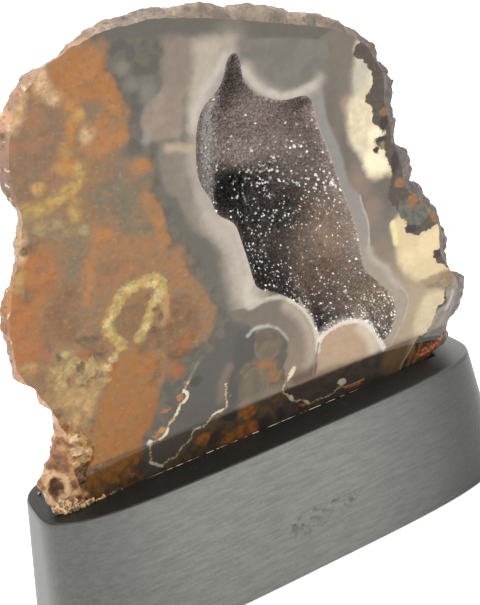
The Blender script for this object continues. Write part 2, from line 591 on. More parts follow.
marking("orange_in_tongue", (154, 119, 92), blobs((0.4, 17.2, 2.76, 1.38, -22), (2.2, 13.4, 1.96, 2.24, -47)),
    soft=1.2, ragged=0.4, second=(144, 112, 88), mottle=1.6)
marking("teal_in_tongue", (104, 104, 98), blobs((4.4, 15.9, 0.98, 1.96, -22), (5.7, 20.1, 0.83, 1.94, -21)),
    soft=1)
marking("pink_agate_low", (140, 126, 114), blobs((1.1, 8.7, 3.4, 1.7, -3), (-6.1, 8.9, 1.39, 2.23, -71)),
    soft=1.8)
print(len(MARKINGS), "markings so far")

# %% [markdown]
# In the strip above the wood the same stone looks deep and dark, because the polish mirrors the black
# wood there. Markings with strip=True have the colours seen in that strip.

# %% Strip above the wood
marking("brown_low", (80, 62, 42), [patch((-12.4, 11), (-7.9, 7.9), (-1.9, 7.7), (4.1, 7.7), (6.3, 4.2),
    (6.8, -1.9), (-13.3, -1.9), (-20.2, -2.2), (-30.8, -1.9), (-30.3, 0.8), (-25.5, 1.4), (-22, 3.8),
    (-20, 6.4), (-16.7, 6.7), (-14.9, 8.1))], soft=0.7, ragged=0.4, grain=1.6, second=(60, 51, 41), mottle=2,
    strip=True)
marking("dark_low", (47, 43, 39), blobs((-10.7, 7.4, 2.49, 1.38, -8), (-2.1, 0.8, 2.59, 2.02, -3),
    (3.4, 1.9, 1.74, 2.33, -23), (8.3, 1.6, 2.36, 1.18, -3), (-15.6, 3, 1.39, 2.22, -42)), soft=1, ragged=0.4,
    strip=True)
marking("deep_orange", (128, 78, 36), [*blobs((-6.2, 6.3, 2.25, 1.96, -3), (-18.5, 4, 1.65, 1.92, -50)),
    patch((-13.7, 1.3), (-11.6, 2.9), (-8.5, 3.3), (-4.1, 3.1), (-4.2, -0.1), (-9, -0.3), (-13.4, -0.6))],
    soft=0.9, ragged=0.5, grain=1.2, second=(98, 64, 35), mottle=1.6, strip=True)
marking("lobe_in_strip", (64, 54, 48), [patch((4.9, 8), (8.9, 7.7), (14.7, 7.7), (20.6, 7.6), (27.2, 7.6),
    (32.7, 7.5), (35.2, 6.5), (34.2, 0.9), (29.7, -0.9), (19.8, -2.8), (7.9, -2.4), (3.7, 1.8))], soft=0.7,
    ragged=0.2, second=(54, 46, 40), mottle=3, strip=True)
marking("brown_right", (138, 118, 97), [patch((33.9, 7), (36.5, 8.3), (42.1, 7.9), (41.3, 4.1), (37.9, -0.6),
    (33.6, 1.1), (33.2, 4.9))], soft=2.6, second=(130, 111, 92), mottle=3)
print(len(MARKINGS), "markings so far")

# %% [markdown]
# The sawn edge of the rough skin shows as a dark rind on the right, with rust, green and tan in it, and a
# wedge of orange where it meets the wood.

# %% Rind on the right
RIND_INNER = [(33, 87), (33.7, 81.9), (34.9, 79.8), (35.3, 77.4), (34.6, 75.8), (33.2, 74.5), (33.1, 73.2),
    (34.4, 71.7), (34.8, 69.9), (34.4, 68.3), (35.7, 66.6), (37.3, 65.9), (38.1, 64.5), (36.9, 63.8),
    (35.5, 63.7), (35.1, 62.6), (36.2, 61.3), (37.5, 60.5), (37.7, 58.9), (38.2, 57.3), (39, 55.8),
    (39.8, 55.1), (39.2, 54.3), (38.8, 52.4), (38.1, 50.8), (37.7, 48.9), (38.4, 46.9), (40.1, 44.8),
    (41.1, 42.4), (42.8, 41), (42.4, 38.2), (43.5, 37.1), (45.3, 36), (46.8, 36.3), (49, 36.4), (50.8, 36.9),
    (52.7, 36.8), (53.3, 35.3), (53.2, 32), (52.5, 30.3), (50.9, 29.4), (50.5, 28.4), (51.7, 26.6),
    (54.2, 24.4), (56, 22.9), (57.6, 20.3), (55.9, 18.9), (54, 18.7), (53.3, 16.7), (53.2, 14.6),
    (51.3, 14.2), (49.9, 10.9), (48.2, 8), (46.6, 7.7), (44.6, 7.2), (43.3, 5.4), (41.6, 3.6), (39.6, 1.7),
    (37.5, -1.4), (34.9, -8)]
marking("rind", (97, 92, 86), [patch(*RIND_INNER, *FAR_RIGHT)], soft=0.3, ragged=0.5, grain=1.3,
    second=(108, 98, 89), mottle=1.5, share=0.45)
marking("rind_dark_spots", (84, 77, 68), blobs((36.3, 63.5, 1.57, 0.68, -3), (35.1, 61.2, 0.95, 0.9, -16),
    (51.5, 29, 1.35, 1.2, -48), (40.2, 57, 1.08, 3.24, -8), (37.7, 67, 1.04, 2.08, -15),
    (44.5, 38.6, 2.3, 1.44, -9)), ragged=0.4, grain=0.9)
marking("rind_tan", (155, 132, 99), blobs((36.8, 61.7, 0.69, 0.95, -16), (45.6, 47.8, 1.69, 0.84, -25),
    (49.2, 41.9, 1.15, 1.73, 11), (51.8, 39, 0.88, 1.46, -18), (54.4, 22, 1.08, 0.8, -19),
    (54, 19.9, 0.93, 0.5, -20)), ragged=0.5, grain=0.9)
marking("rind_green", (103, 104, 97), [patch((40.4, 45.7), (43.4, 46.4), (48.1, 43.3), (49.1, 40.4),
    (46.6, 38.5), (43.7, 39.4), (41.4, 42.3))], soft=0.8, ragged=0.6, grain=1.2, second=(118, 118, 108),
    mottle=1.2)
marking("rust", (160, 116, 84), blobs((37.8, 69.6, 1.29, 0.88, -6), (41.3, 51.4, 1.38, 1.38),
    (39.9, 61.8, 0.53, 0.64, -16), (45.2, 46.1, 1.69, 1.41, -40), (48.1, 43.9, 1.14, 0.86, -17),
    (50.9, 39.8, 1.17, 1.75, 22), (44.2, 44.3, 1.13, 0.85, -17)), soft=0.6, ragged=0.6, grain=0.9,
    second=(142, 108, 82), mottle=1)
marking("purple_edge", (124, 102, 101), [stroke(0.63, (39.4, 77.3), (40.1, 75.3), (39.1, 72.3), (39.2, 69),
    (40.1, 65.4), (40.2, 62.4), (41.7, 59), (42.7, 55.3), (42.8, 52.2))], soft=1, ragged=0.4)
marking("lilac_stripe", (142, 132, 124), [patch((54, 18.2), (55.9, 18.9), (57.9, 20.5), (61.1, 19.4),
    (61.1, 15.6), (58.3, 10.7), (55, 6.6), (52.3, 5.2), (48.4, 6.4), (45.9, 6.5), (46.9, 7.6), (49.2, 10),
    (51.3, 13.3), (53.9, 14.1))], soft=0.4, second=(154, 145, 138), mottle=1.8)
marking("lilac_shine", (190, 182, 176), [stroke(0.32, (53.8, 12.4), (55.2, 14.2), (56.2, 16.8))], soft=0.8,
    ragged=0.2)
marking("red_skin_edge", (176, 124, 112), [stroke(0.64, (59.5, 17.6), (58.1, 14.3), (57, 11.2), (55, 8.4))],
    soft=0.7, ragged=0.5)
marking("dark_wedge", (60, 47, 31), [patch((44.3, 7.1), (46.5, 6.8), (50.3, 5), (53, 6.1), (54.9, 3.6),
    (54.1, 1.4), (50.2, -0.1), (46.2, -0.9), (41.6, -3.4), (37.7, -4.8), (39.3, 1.3), (41.6, 3.9),
    (43, 5.8))], soft=0.4, ragged=0.4, second=(44, 36, 26), mottle=1.2, strip=True)
marking("wedge_streaks", (104, 70, 34), [stroke(0.51, (43.3, 5.1), (41.9, 2.6), (41.1, 0.5)), stroke(0.51,
    (45.5, 5.4), (44.4, 2.8), (43.1, 0.9))], ragged=0.4, strip=True)
marking("orange_corner", (214, 112, 66), [stroke(1.03, (45.4, 2.4), (48.3, 2.8), (50.9, 3.3), (53.6, 4.4)),
    blob(53.2, 4.2, 1.62, 1.29, -21)], soft=0.9, ragged=1.1, grain=0.7, second=(104, 62, 40), mottle=0.9,
    share=0.52, strip=True)
marking("wedge_line", (180, 166, 146), [stroke(0.25, (44, 7.2), (42.6, 5.3), (41.3, 3.8), (39.6, 2),
    (38.6, 0.3))], soft=0.35, ragged=0.15, grain=0.8)
print(len(MARKINGS), "markings so far")

# %% [markdown]
# The left third of the face is jasper, which is opaque and stained by iron. It has clouds of orange,
# olive and brown round a mauve oval, with a broken yellow border and cream blotches at the rough edge.

# %% Jasper clouds
FAR_LEFT = [(-70, -8), (-70, 106)]
marking("jasper", (147, 121, 99), [patch(*BAND_LEFT, *FAR_LEFT)], soft=1.74, ragged=1.12, grain=3,
    second=(154, 120, 94), mottle=6.5)
marking("olive_clouds", (133, 121, 104), blobs((-27.5, 70.5, 4.35, 7.4, -24), (-32.8, 70.8, 1.93, 5.14, -22),
    (-40.6, 58, 1.97, 4.38, -24), (-43.5, 47.9, 1.8, 5.39, -25), (-25.6, 60.8, 2.71, 3.61, -8),
    (-31.6, 88.1, 2.43, 1.82, -15), (-27.4, 78.7, 2.12, 1.27, -16), (-19.9, 40.1, 1.96, 3.43, -29),
    (-40, 62.9, 3.02, 2.59, -18)), soft=4.35, ragged=1.6, grain=4, second=(124, 118, 105))
marking("teal_clouds", (124, 118, 104), blobs((-27.2, 65.9, 1.99, 2.65, -8), (-22.9, 69.9, 1.54, 1.54),
    (-23.8, 60.3, 1.36, 1.82, 13), (-31.8, 69.1, 1.08, 2.59, -17)), soft=3.48, ragged=1.28, grain=3)
marking("orange_top", (174, 126, 90), [patch((-38.7, 101.7), (-27, 98.9), (-26.8, 95.7), (-25.7, 92.3),
    (-24.3, 88.3), (-24.9, 86.2), (-26.7, 86), (-29, 88.7), (-31.2, 90.3), (-33.4, 89.8), (-34.7, 87.7),
    (-35, 83.9), (-36.4, 81.2), (-38, 81.7), (-37.4, 85.6), (-36.5, 89), (-36.5, 91.8), (-37.4, 94.4),
    (-37.6, 97.6))], soft=2.61, ragged=0.96, grain=3, second=(168, 120, 84))
marking("orange_upper", (168, 128, 97), [patch((-32.2, 85.4), (-29.6, 85.5), (-25.6, 83.6), (-24.4, 81.6),
    (-25.8, 79.9), (-28.6, 79), (-30.5, 78.1), (-33, 78.8), (-33.9, 80.9), (-33, 83.2)),
    blob(-23.3, 74.2, 2.61, 1.3, 3), stroke(0.91, (-22.7, 67), (-21.8, 64.2), (-20.9, 60.7), (-20.4, 56.8)),
    blob(-33.3, 61.1, 3.09, 2.65, -18), stroke(1.12, (-36.1, 59.3), (-37.8, 54.1), (-39.3, 48.7))], soft=2.61,
    ragged=0.96, grain=3, second=(176, 126, 88))
marking("orange_middle", (160, 122, 94), blobs((-28.1, 57, 6.81, 2.72, -14), (-18.2, 51.3, 2.13, 2.85, 12),
    (-31, 53.8, 2.73, 3.19, -19), (-17.6, 45.3, 2.42, 2.91, -20)), soft=3.77, ragged=1.28, grain=3)
marking("orange_left", (174, 120, 83), [patch((-51.4, 61.8), (-47.4, 63.1), (-44.9, 60.4), (-44.8, 55.4),
    (-47.2, 51.6), (-50, 48.4), (-50.9, 42.3), (-53.9, 38.3), (-58.5, 39.7), (-61.4, 47.6), (-59.4, 56),
    (-55.2, 59.9))], soft=3.19, ragged=0.96, grain=3, second=(164, 114, 84))
marking("orange_low", (165, 117, 78), [patch((-36.3, 34.8), (-27.7, 31.9), (-25.8, 28), (-27.2, 22.8),
    (-28.8, 17.5), (-31.4, 12.6), (-34.1, 8.8), (-36.4, 1.6), (-48.2, 0.1), (-47.6, 8.3), (-45.2, 15.5),
    (-42.5, 21.8), (-39.8, 26.4), (-38.4, 31))], soft=2.61, ragged=0.96, grain=3, second=(160, 118, 76))
marking("mauve_oval", (142, 117, 99), [patch((-42.6, 93), (-39.5, 92.2), (-37.3, 90.2), (-36.9, 87.1),
    (-37.6, 83.6), (-39.4, 81.7), (-41.4, 79.3), (-40.2, 76.9), (-41.9, 74.8), (-44.7, 73.3), (-48, 73.7),
    (-50.8, 75.9), (-51.2, 79.7), (-49.1, 83.6), (-47, 87.5), (-44.6, 91))], soft=1.89, ragged=0.64, grain=3,
    second=(136, 116, 100), mottle=3.6)
marking("red_in_oval", (160, 122, 100), blobs((-42.9, 89.5, 1.76, 2.74, -5), (-48.4, 84.8, 1.57, 1.57),
    (-39.9, 76.5, 1.86, 1.03, 4), (-43.6, 84.7, 1.59, 1.19, -16)), soft=2.9, ragged=0.64)
marking("mauve_clouds", (143, 114, 93), [patch((-45.1, 53.2), (-42.3, 53.6), (-41, 49.3), (-43.1, 42.9),
    (-46.1, 39.2), (-49.7, 39.6), (-50.4, 44.7), (-48.5, 49.3)), *blobs((-32.8, 54, 2.26, 1.13, -9),
    (-50.9, 35.6, 2.75, 3.21, -22))], soft=2.9, ragged=0.96, grain=3, second=(134, 107, 88))
marking("brown_clouds", (137, 109, 88), [patch((-21, 42.5), (-16.3, 41.3), (-14.7, 35.1), (-17.1, 29.3),
    (-21.7, 29), (-25.3, 31.5), (-27.7, 31.4), (-30.9, 33.1), (-29, 35.5), (-24.5, 36.3), (-21.7, 38.3)),
    blob(-50.9, 54.3, 2.59, 1.08, -4)], soft=2.61, ragged=0.96, grain=3, second=(128, 104, 84), mottle=3)
marking("dark_brown_spot", (116, 95, 74), blobs((-20.8, 28.4, 3.04, 1.27, -1),
    (-26.9, 26.3, 0.75, 2.26, -22)), soft=1.74, ragged=0.8)
marking("orange_by_band", (160, 112, 78), blobs((-22.4, 24.5, 2.04, 1.79, 10), (-18.8, 31, 1.26, 2.52, -39),
    (-30.6, 17.2, 1.28, 3.59, -31)), soft=2.32, ragged=0.64)
marking("yellow_border", (186, 158, 104), [stroke(1.45, (-35.9, 77.3), (-36.6, 74.9), (-39.3, 73.2),
    (-42.5, 72), (-45.6, 71.1), (-48.3, 72.1)), stroke(1.07, (-38.1, 70.6), (-38.4, 67.7))], soft=2.03,
    ragged=0.64, second=(176, 146, 98), mottle=2.4)
marking("yellow_upper", (180, 144, 94), [stroke(1.03, (-37.8, 82.4), (-37.5, 79.9), (-38.4, 77.6),
    (-40.3, 78.6)), stroke(0.6, (-35.2, 90.3), (-35.1, 87.5), (-35.8, 84.4))], soft=2.03, ragged=0.64,
    second=(188, 138, 88), mottle=2)
marking("cream_clouds", (216, 184, 150), [stroke(1.36, (-39.5, 97.3), (-39.8, 94.7), (-37.9, 92.4)),
    stroke(0.96, (-44.3, 94.2), (-45.3, 91.4), (-47.1, 88.7)), blob(-32.7, 83.7, 1.33, 1.54, -15),
    stroke(1.05, (-50.1, 67.9), (-51.3, 62.6))], soft=2.61, ragged=0.48, second=(208, 172, 132), mottle=2)
marking("tan_spots", (188, 152, 104), blobs((-33.6, 87.9, 1.21, 1.21), (-54.4, 38.1, 2.03, 1.35, -11),
    (-44.7, 75.7, 1.43, 1.43), (-52.7, 58.2, 1.27, 2.54, -19)), soft=1.89, ragged=0.48)
marking("olive_ground", (150, 132, 106), [patch((-49.1, 70.6), (-44.7, 69.7), (-41.4, 69.1), (-39.4, 66.2),
    (-35.7, 64.6), (-36.2, 62), (-42.5, 63.7), (-46.4, 65.4), (-48.5, 67.4))], soft=2.61, ragged=0.96,
    second=(140, 124, 102), mottle=2.4)
marking("olive_spots", (170, 152, 114), blobs((-46, 67.5, 1.25, 1.25), (-42.6, 67.5, 1.05, 0.84, -18),
    (-37.1, 64.6, 1.08, 1.08)), soft=1.74, ragged=0.48)
marking("dark_blotches", (112, 98, 86), blobs((-48.8, 64.2, 1.89, 1.26, 8), (-41, 39.9, 2.55, 1.16, -11),
    (-39.3, 36.5, 2.12, 1.65, -57), (-50.4, 25, 1.43, 1.43), (-44.9, 19.6, 1.72, 1.47, -24),
    (-51, 31.1, 1.16, 0.58, -23)), soft=1.59, ragged=0.8, grain=1.5)
print(len(MARKINGS), "markings so far")

# %% [markdown]
# Towards the lower left the jasper is full of specks, dark and red ones first and pale ones on top. The
# yellow loop beside them is one closed stroke with a reddish heart.

# %% Specks and yellow loop
marking("speckled_ground", (150, 126, 97), [patch((-47.6, 40.7), (-43.3, 39.5), (-40, 35.2), (-38.5, 30.6),
    (-40.9, 25.3), (-43.2, 21), (-46.3, 17.1), (-50.4, 17.9), (-52.6, 23.1), (-53.2, 29), (-51.7, 34),
    (-50, 37.8))], soft=2.03, ragged=0.96, second=(162, 136, 104), mottle=2)
marking("speckled_dark", (116, 103, 86), blobs((-43.7, 34.2, 0.94, 1.64, -22), (-40.7, 30.2, 1.2, 1.44, -22),
    (-47, 32.5, 0.7, 1.87, -22), (-43.9, 29.7, 1.19, 0.71, -23), (-47.7, 38.3, 0.92, 0.92),
    (-40.9, 36.8, 1.88, 1.17, -53), (-41.5, 39.6, 1.86, 0.93, -16)), soft=0.8, ragged=0.8, grain=1.2)
marking("speckle_red", (156, 112, 88), blobs((-42.4, 37.2, 1.63, 0.93, -22), (-41.4, 35.3, 1.41, 0.61, -31)),
    soft=0.8, ragged=0.64)
marking("pale_specks", (190, 164, 118), blobs((-48.9, 35.6, 1.15, 1.04, -22), (-46.1, 38.2, 1.38, 0.92, -22),
    (-46.1, 34.7, 1.17, 2.1, -41), (-41.5, 33.3, 1.18, 2.13, -1), (-44.3, 31.1, 1.18, 0.95, -22),
    (-48.7, 31.2, 1.64, 1.41, -51), (-38.7, 31.9, 1.44, 1.2, -22), (-39.1, 29, 0.97, 0.85, -22),
    (-48.6, 33.7, 0.7, 1.16, -22), (-44.5, 36, 0.93, 0.93)), soft=0.9, ragged=0.64, grain=1,
    second=(176, 158, 114), mottle=1.2)
marking("speckle_bands", (188, 156, 108), blobs((-46, 28.5, 3.33, 1.19, -10), (-42.2, 27.4, 1.21, 3.13, -32),
    (-44, 24.3, 1.45, 1.94, -33), (-42.5, 27.1, 0.96, 1.69, -23), (-47.7, 26.9, 3.81, 1.19, -18),
    (-47.7, 22, 1.45, 2.9, -43)), soft=2.03, ragged=0.64, grain=1.4, second=(194, 160, 120), mottle=2)
marking("yellow_loop", (194, 168, 114), [stroke(1.4, (-24.4, 48.2), (-27.7, 48.6), (-30.6, 48), (-32.8, 46.1),
    (-34.8, 43.2), (-36.2, 40.7), (-34.8, 38), (-33.8, 35.8)), stroke(1.66, (-24.4, 48.6), (-22.7, 47.1),
    (-22.9, 44.2)), stroke(1.21, (-25, 43.5), (-26.4, 40.5), (-28.1, 38.1), (-29.6, 36)), stroke(0.72,
    (-33.8, 35.8), (-35.4, 34.4), (-36.4, 33.3))], soft=0.9, ragged=0.64, grain=1.2, second=(176, 156, 102),
    mottle=1.6)
marking("loop_heart", (142, 112, 86), [patch((-32.9, 43.4), (-30.3, 44.7), (-27.3, 45.3), (-25.5, 45.9),
    (-25.6, 44.2), (-26.9, 42.2), (-28.3, 39.7), (-29.8, 37.8), (-31.5, 36.4), (-33.4, 37.7), (-34.7, 41.2))],
    soft=0.8, ragged=0.48, grain=1.4, second=(132, 112, 90), mottle=2.6)
marking("loop_side", (180, 146, 106), [stroke(0.83, (-21.9, 43.3), (-22.4, 40), (-23.6, 37.4))], soft=1.59,
    ragged=0.64)
marking("loop_holes", (112, 96, 78), blobs((-24.8, 41.4, 0.63, 0.53, -20), (-25.7, 36.5, 1.22, 0.83, 0),
    (-24, 39.1, 0.73, 0.97, -21)), soft=0.7, ragged=0.48)
marking("loop_bright", (218, 200, 146), blobs((-24.6, 47.5, 1.18, 0.94, -20), (-30.5, 48.6, 1.16, 0.7, 1),
    (-23.7, 44, 0.96, 1.44, -20), (-35.9, 42.1, 0.7, 1.63, -39), (-27.6, 38, 0.97, 0.6, 35),
    (-38.3, 31.8, 0.96, 0.72, -22)), soft=1, ragged=0.48, grain=0.8)
marking("loop_foot", (206, 192, 164), [blob(-36.4, 33.3, 0.96, 0.72, -22)], soft=0.9)
print(len(MARKINGS), "markings so far")

# %% [markdown]
# At its lower left end the face is not polished but broken. The margin is a patch of crumbs in cream,
# brown and black, which the finish later makes matt and rough.

# %% Crumbly margin
marking("dark_by_edge", (118, 98, 84), blobs((-47.8, 11.8, 1.25, 1.75, -25), (-48.7, 7.5, 1.77, 2.28, -25),
    (-50.8, 25.2, 0.95, 1.19, -23)), soft=2.03, ragged=0.64, grain=1.4)
marking("crumbled_corner", (190, 160, 116), blobs((-49.8, 4.4, 1.78, 1.27, -76),
    (-50.8, 1.7, 1.79, 1.03, -26), (-44.7, 7.8, 1.28, 0.51, 9)), soft=0.6, ragged=0.96, grain=0.8,
    second=(150, 130, 88), mottle=0.9)
marking("crumbly_margin", (196, 156, 112), [patch((-53.2, 20.2), (-49.5, 22.7), (-46.5, 18.8), (-45, 14.3),
    (-45.6, 10.8), (-48, 8.5), (-48.2, 4.7), (-48.2, 0.1), (-48.6, -4.8), (-56.4, -4.4), (-58.3, 5.1))],
    soft=0.8, ragged=0.8, grain=1.4, second=(140, 104, 74), mottle=1.8)
marking("crumbly_cream", (238, 210, 174), blobs((-49, 17.8, 1.47, 1.22, -24), (-48.8, 14.4, 1.73, 1.24, -25),
    (-46.1, 13.2, 1, 1), (-51.6, 16.8, 1.22, 1.71, -25), (-50.7, 12, 0.99, 0.74, -25),
    (-51, 7.8, 1.26, 1.01, -26), (-49.1, 2.9, 1.03, 0.77, -26), (-52.2, 4.4, 1.27, 1.27)), soft=0.7,
    ragged=0.6, grain=1, second=(206, 160, 118), mottle=1.4)
marking("crumbly_dark", (92, 72, 58), blobs((-47.2, 10.1, 1.01, 0.76, -25), (-49.5, 5.9, 1.02, 1.27, -26),
    (-49.3, 9.2, 0.75, 1, -25), (-51.2, 14.2, 0.74, 0.74), (-53.1, 7.1, 1, 1.25, -26),
    (-49.1, 0.6, 0.78, 0.78)), soft=0.7, ragged=0.7, grain=1)
marking("orange_in_strip", (114, 74, 35), [patch((-46.4, 5.5), (-42.5, 6.5), (-38.5, 6.6), (-34.7, 6.8),
    (-35.4, -0.3), (-41, -1.9), (-46.7, -2.9), (-48.7, -2.5))], soft=0.9, ragged=0.5, grain=1.6,
    second=(82, 58, 36), mottle=2.2, strip=True)
marking("dark_in_strip", (58, 52, 45), blobs((-37.9, 1.5, 2.12, 1.32, 3), (-42.6, 0.8, 2.36, 1.05, 3),
    (-34.8, 3.4, 1.32, 2.12, -25), (-44.9, 7.1, 0.77, 0.51, -25)), soft=1, ragged=0.6, grain=1.4, strip=True)
marking("red_dots", (180, 126, 98), blobs((-30.6, 85.6, 0.82, 0.62, -15), (-22.5, 17.5, 0.94, 0.84, -23),
    (-26.4, 15.4, 1.04, 0.52, 10), (-25.3, 12.4, 0.63, 0.42, 10), (-29.5, 10.1, 0.79, 1.05, -58),
    (-20.5, 20.5, 0.52, 0.42, -23), (-37.2, 2.3, 0.79, 0.53, -25)), soft=0.7, ragged=0.48, grain=0.8)
print(len(MARKINGS), "markings so far")

# %% [markdown]
# Thin pale veins with beads on them wander over the lower part of the face. They are strokes a fraction
# of a millimetre wide, and so they come last.

# %% Veins
VEIN_LEFT = [(-19.9, 20.6), (-20.6, 19.5), (-21.2, 18.9), (-20.6, 18.1), (-20.8, 16.8), (-21.7, 16.1),
    (-22.8, 15.5), (-23.2, 14.3), (-24.2, 13.3), (-25.1, 12.3), (-26.2, 11.7), (-27, 10.1), (-27.9, 9.3),
    (-29, 8.7), (-30.3, 8.7), (-31.5, 9), (-31.8, 7.2), (-32, 4.7), (-32.4, 4), (-31.3, 2.7), (-30.2, 1.6),
    (-29.4, 1.5), (-28.6, 2), (-27.5, 2.3), (-25.9, 2.2), (-25, 3.2), (-24, 4.2), (-22.6, 4.7), (-21.4, 5.6),
    (-20.7, 7), (-19.3, 7.5), (-18, 7.5), (-16.9, 7.6), (-15.9, 8.6), (-15, 9.3), (-13.9, 9.7), (-12.6, 9.7),
    (-11.5, 9.8), (-11, 11), (-11, 13), (-10.8, 14.8), (-10.6, 16.1)]
VEIN_RIGHT = [(6.4, 10.8), (5.2, 10.2), (4.2, 8.8), (4.3, 7.4), (5.3, 6.1), (6, 4.9), (7.1, 3.8), (8.5, 3.5),
    (9.9, 2.7), (10.6, 1.5), (12.1, 1.4), (13.6, 1.7), (15.3, 1.5), (17.1, 1.4), (18.7, 1.9), (19.9, 2.6),
    (21.1, 2.1), (23.2, 1.8), (25.3, 1.8), (27.4, 1.9)]
marking("vein_shadow", (97, 93, 90), [blob(-17.9, 20, 1.83, 1.31, 10)], soft=0.9)
marking("vein_brush", (132, 133, 123), [stroke(0.31, (-16.8, 24.4), (-18.7, 22.2), (-20, 20.3))], soft=0.8,
    ragged=0.2)
marking("pale_arc", (182, 178, 166), [stroke(0.45, (-3.4, 26.4), (-1.9, 27.4), (-0, 27.5), (2.1, 27)),
    stroke(0.22, (2.1, 27), (4.4, 25.5), (5.8, 23.6), (7, 21.3))], soft=0.9, ragged=0.25)
marking("vein_orange", (192, 146, 104), [blob(-28.1, 10.9, 0.89, 0.89)], soft=0.7, ragged=0.2, grain=0.8)
marking("veins", (212, 198, 162), [stroke(0.2, *VEIN_LEFT), stroke(0.19, *VEIN_RIGHT)], soft=0.28,
    ragged=0.42, grain=0.5, second=(178, 148, 90), mottle=1.4)
marking("vein_beads", (224, 214, 190), [stroke(0.39, (-21.3, 18.7), (-20.6, 17.8), (-20.8, 16.6),
    (-21.7, 15.8)), stroke(0.32, (-23.1, 14.8), (-24.2, 13.3)), stroke(0.37, (-26.7, 10.5), (-27.6, 9.2),
    (-29, 8.7)), blob(-31.6, 8.8, 0.79, 0.79), stroke(0.35, (-32.2, 3.6), (-31.1, 2.6), (-29.7, 1.3)),
    *blobs((7.1, 12.2, 0.74, 1.71, -39), (6.1, 5.2, 0.87, 0.58, -62), (10.4, 2.1, 0.89, 0.47, -47),
    (20.9, 3.7, 1.26, 0.96, -22), (-19.3, 7.5, 1.36, 0.24, -8), (-13.6, 9.6, 1.37, 0.33, 3))], soft=0.35,
    ragged=0.25, grain=0.6)
marking("vein_dots", (170, 176, 170), [blob(-10, 12.8, 0.35, 0.3, -23)], soft=0.4)
marking("rust_by_veins", (150, 82, 36), [stroke(0.28, (21.9, 1.7), (24.3, 1.3), (26.2, 1.2)),
    blob(9.2, 1.8, 0.88, 0.47, -3)], soft=0.4, ragged=0.4, grain=0.6, strip=True)
print(len(MARKINGS), "markings with", sum(len(each["shapes"]) for each in MARKINGS), "shapes")

# %% [markdown]
# The polished face lies between two outlines, the edge of the skin and the mouth of the hollow. Both are
# open edges that the cut left. Following one from point to point gives its outline in order, so that the
# new face meets both surfaces without a gap.

# %% Outlines at the saw cut
def open_edge_loop(mesh):
    """The outline that the mesh leaves open at the saw cut, in order."""
    mesh_maker = bmesh.new()
    mesh_maker.from_mesh(mesh)
    rim = [edge for edge in mesh_maker.edges if edge.is_boundary]
    start = rim[0].verts[0]
    loop, before, now = [start], rim[0].verts[0], rim[0].verts[1]
    while now != start:
        loop.append(now)
        following = next(e for e in now.link_edges if e.is_boundary and e.other_vert(now) != before)
        before, now = now, following.other_vert(now)
    places = np.array([vertex.co[:] for vertex in loop])
    print("an open edge of", len(loop), "points, flat to", round(float(np.abs(places[:, 2]).max()), 4), "mm")
    mesh_maker.free()
    return places[:, :2]


outer_edge = open_edge_loop(skin)
mouth_edge = open_edge_loop(hollow)

# %% [markdown]
# Distances are kept on the points of the face and blended between them, so the points must be close
# together. The face starts as a coarse even grid of triangles, and each round halves the edges that are
# still long. Near a fine vein they are halved further, or the line would break up.

# %% Polished face
FACE_SPACING = 2.6
ROW_SHARE = 0.866
LONGEST_EDGE = 0.75
LONGEST_BY_VEIN = 0.22
VEIN_REACH = 0.55
HALVINGS = 2
SAME_PLACE = 1e-4


def closed_ring(count, first=0):
    """The pairs of point numbers that close a ring."""
    return [(first + i, first + (i + 1) % count) for i in range(count)]


def coarse_sheet(outer, mouth):
    """Fills the space between the outlines with triangles on an even grid."""
    columns = np.arange(outer[:, 0].min(), outer[:, 0].max(), FACE_SPACING)
    rows = np.arange(outer[:, 1].min(), outer[:, 1].max(), FACE_SPACING * ROW_SHARE)
    x, y = np.meshgrid(columns, rows)
    x[1::2] += FACE_SPACING / 2
    grid = np.stack([x.ravel(), y.ravel()], axis=1)
    grid = grid[inside_of(grid, outer) & ~inside_of(grid, mouth)]
    clear = FACE_SPACING / 2
    grid = grid[(distance_to(grid, outer) > clear) & (distance_to(grid, mouth) > clear)]
    rim = closed_ring(len(outer)) + closed_ring(len(mouth), len(outer))
    points = [Vector(point) for point in np.vstack([outer, mouth, grid])]
    found, _, faces, *_ = geometry.delaunay_2d_cdt(points, rim, [], 1, SAME_PLACE)
    found, faces = np.array(found), np.array(faces)
    centres = found[faces].mean(axis=1)
    faces = faces[inside_of(centres, outer) & ~inside_of(centres, mouth)]
    sheet = bpy.data.meshes.new("polished_sheet")
    sheet.from_pydata(np.column_stack([found, np.zeros(len(found))]).tolist(), [], faces.tolist())
    return sheet


def halve_long_edges(mesh_maker, longest, lines=None):
    """Splits the edges that are too long, near some lines or everywhere, but never one on the outline."""
    edges = [edge for edge in mesh_maker.edges if not edge.is_boundary and edge.calc_length() > longest]
    if lines and edges:
        middles = np.array([((e.verts[0].co + e.verts[1].co) / 2)[:2] for e in edges])
        near = np.min([distance_to(middles, line, closed=False) for line in lines], axis=0) < VEIN_REACH
        edges = [edge for edge, chosen in zip(edges, near) if chosen]
    bmesh.ops.subdivide_edges(mesh_maker, edges=edges, cuts=1)
    bmesh.ops.triangulate(mesh_maker, faces=[face for face in mesh_maker.faces if len(face.verts) > 3])


def make_polished_sheet(outer, mouth):
    mesh_maker = bmesh.new()
    mesh_maker.from_mesh(coarse_sheet(outer, mouth))
    for _ in range(HALVINGS):
        halve_long_edges(mesh_maker, LONGEST_EDGE)
    lines = [shape.line for each in MARKINGS for shape in each["shapes"]
             if getattr(shape, "line", None) is not None]
    for _ in range(HALVINGS):
        halve_long_edges(mesh_maker, LONGEST_BY_VEIN, lines)
    return mesh_of(mesh_maker, "polished_sheet")


sheet = make_polished_sheet(outer_edge, mouth_edge)
print("polished sheet of", len(sheet.polygons), "triangles")

# %% [markdown]
# The three surfaces become one closed mesh, because the stone is one piece. Welding joins their points
# along the cut. Each keeps a material slot of its own, and only the polished one stays flat.

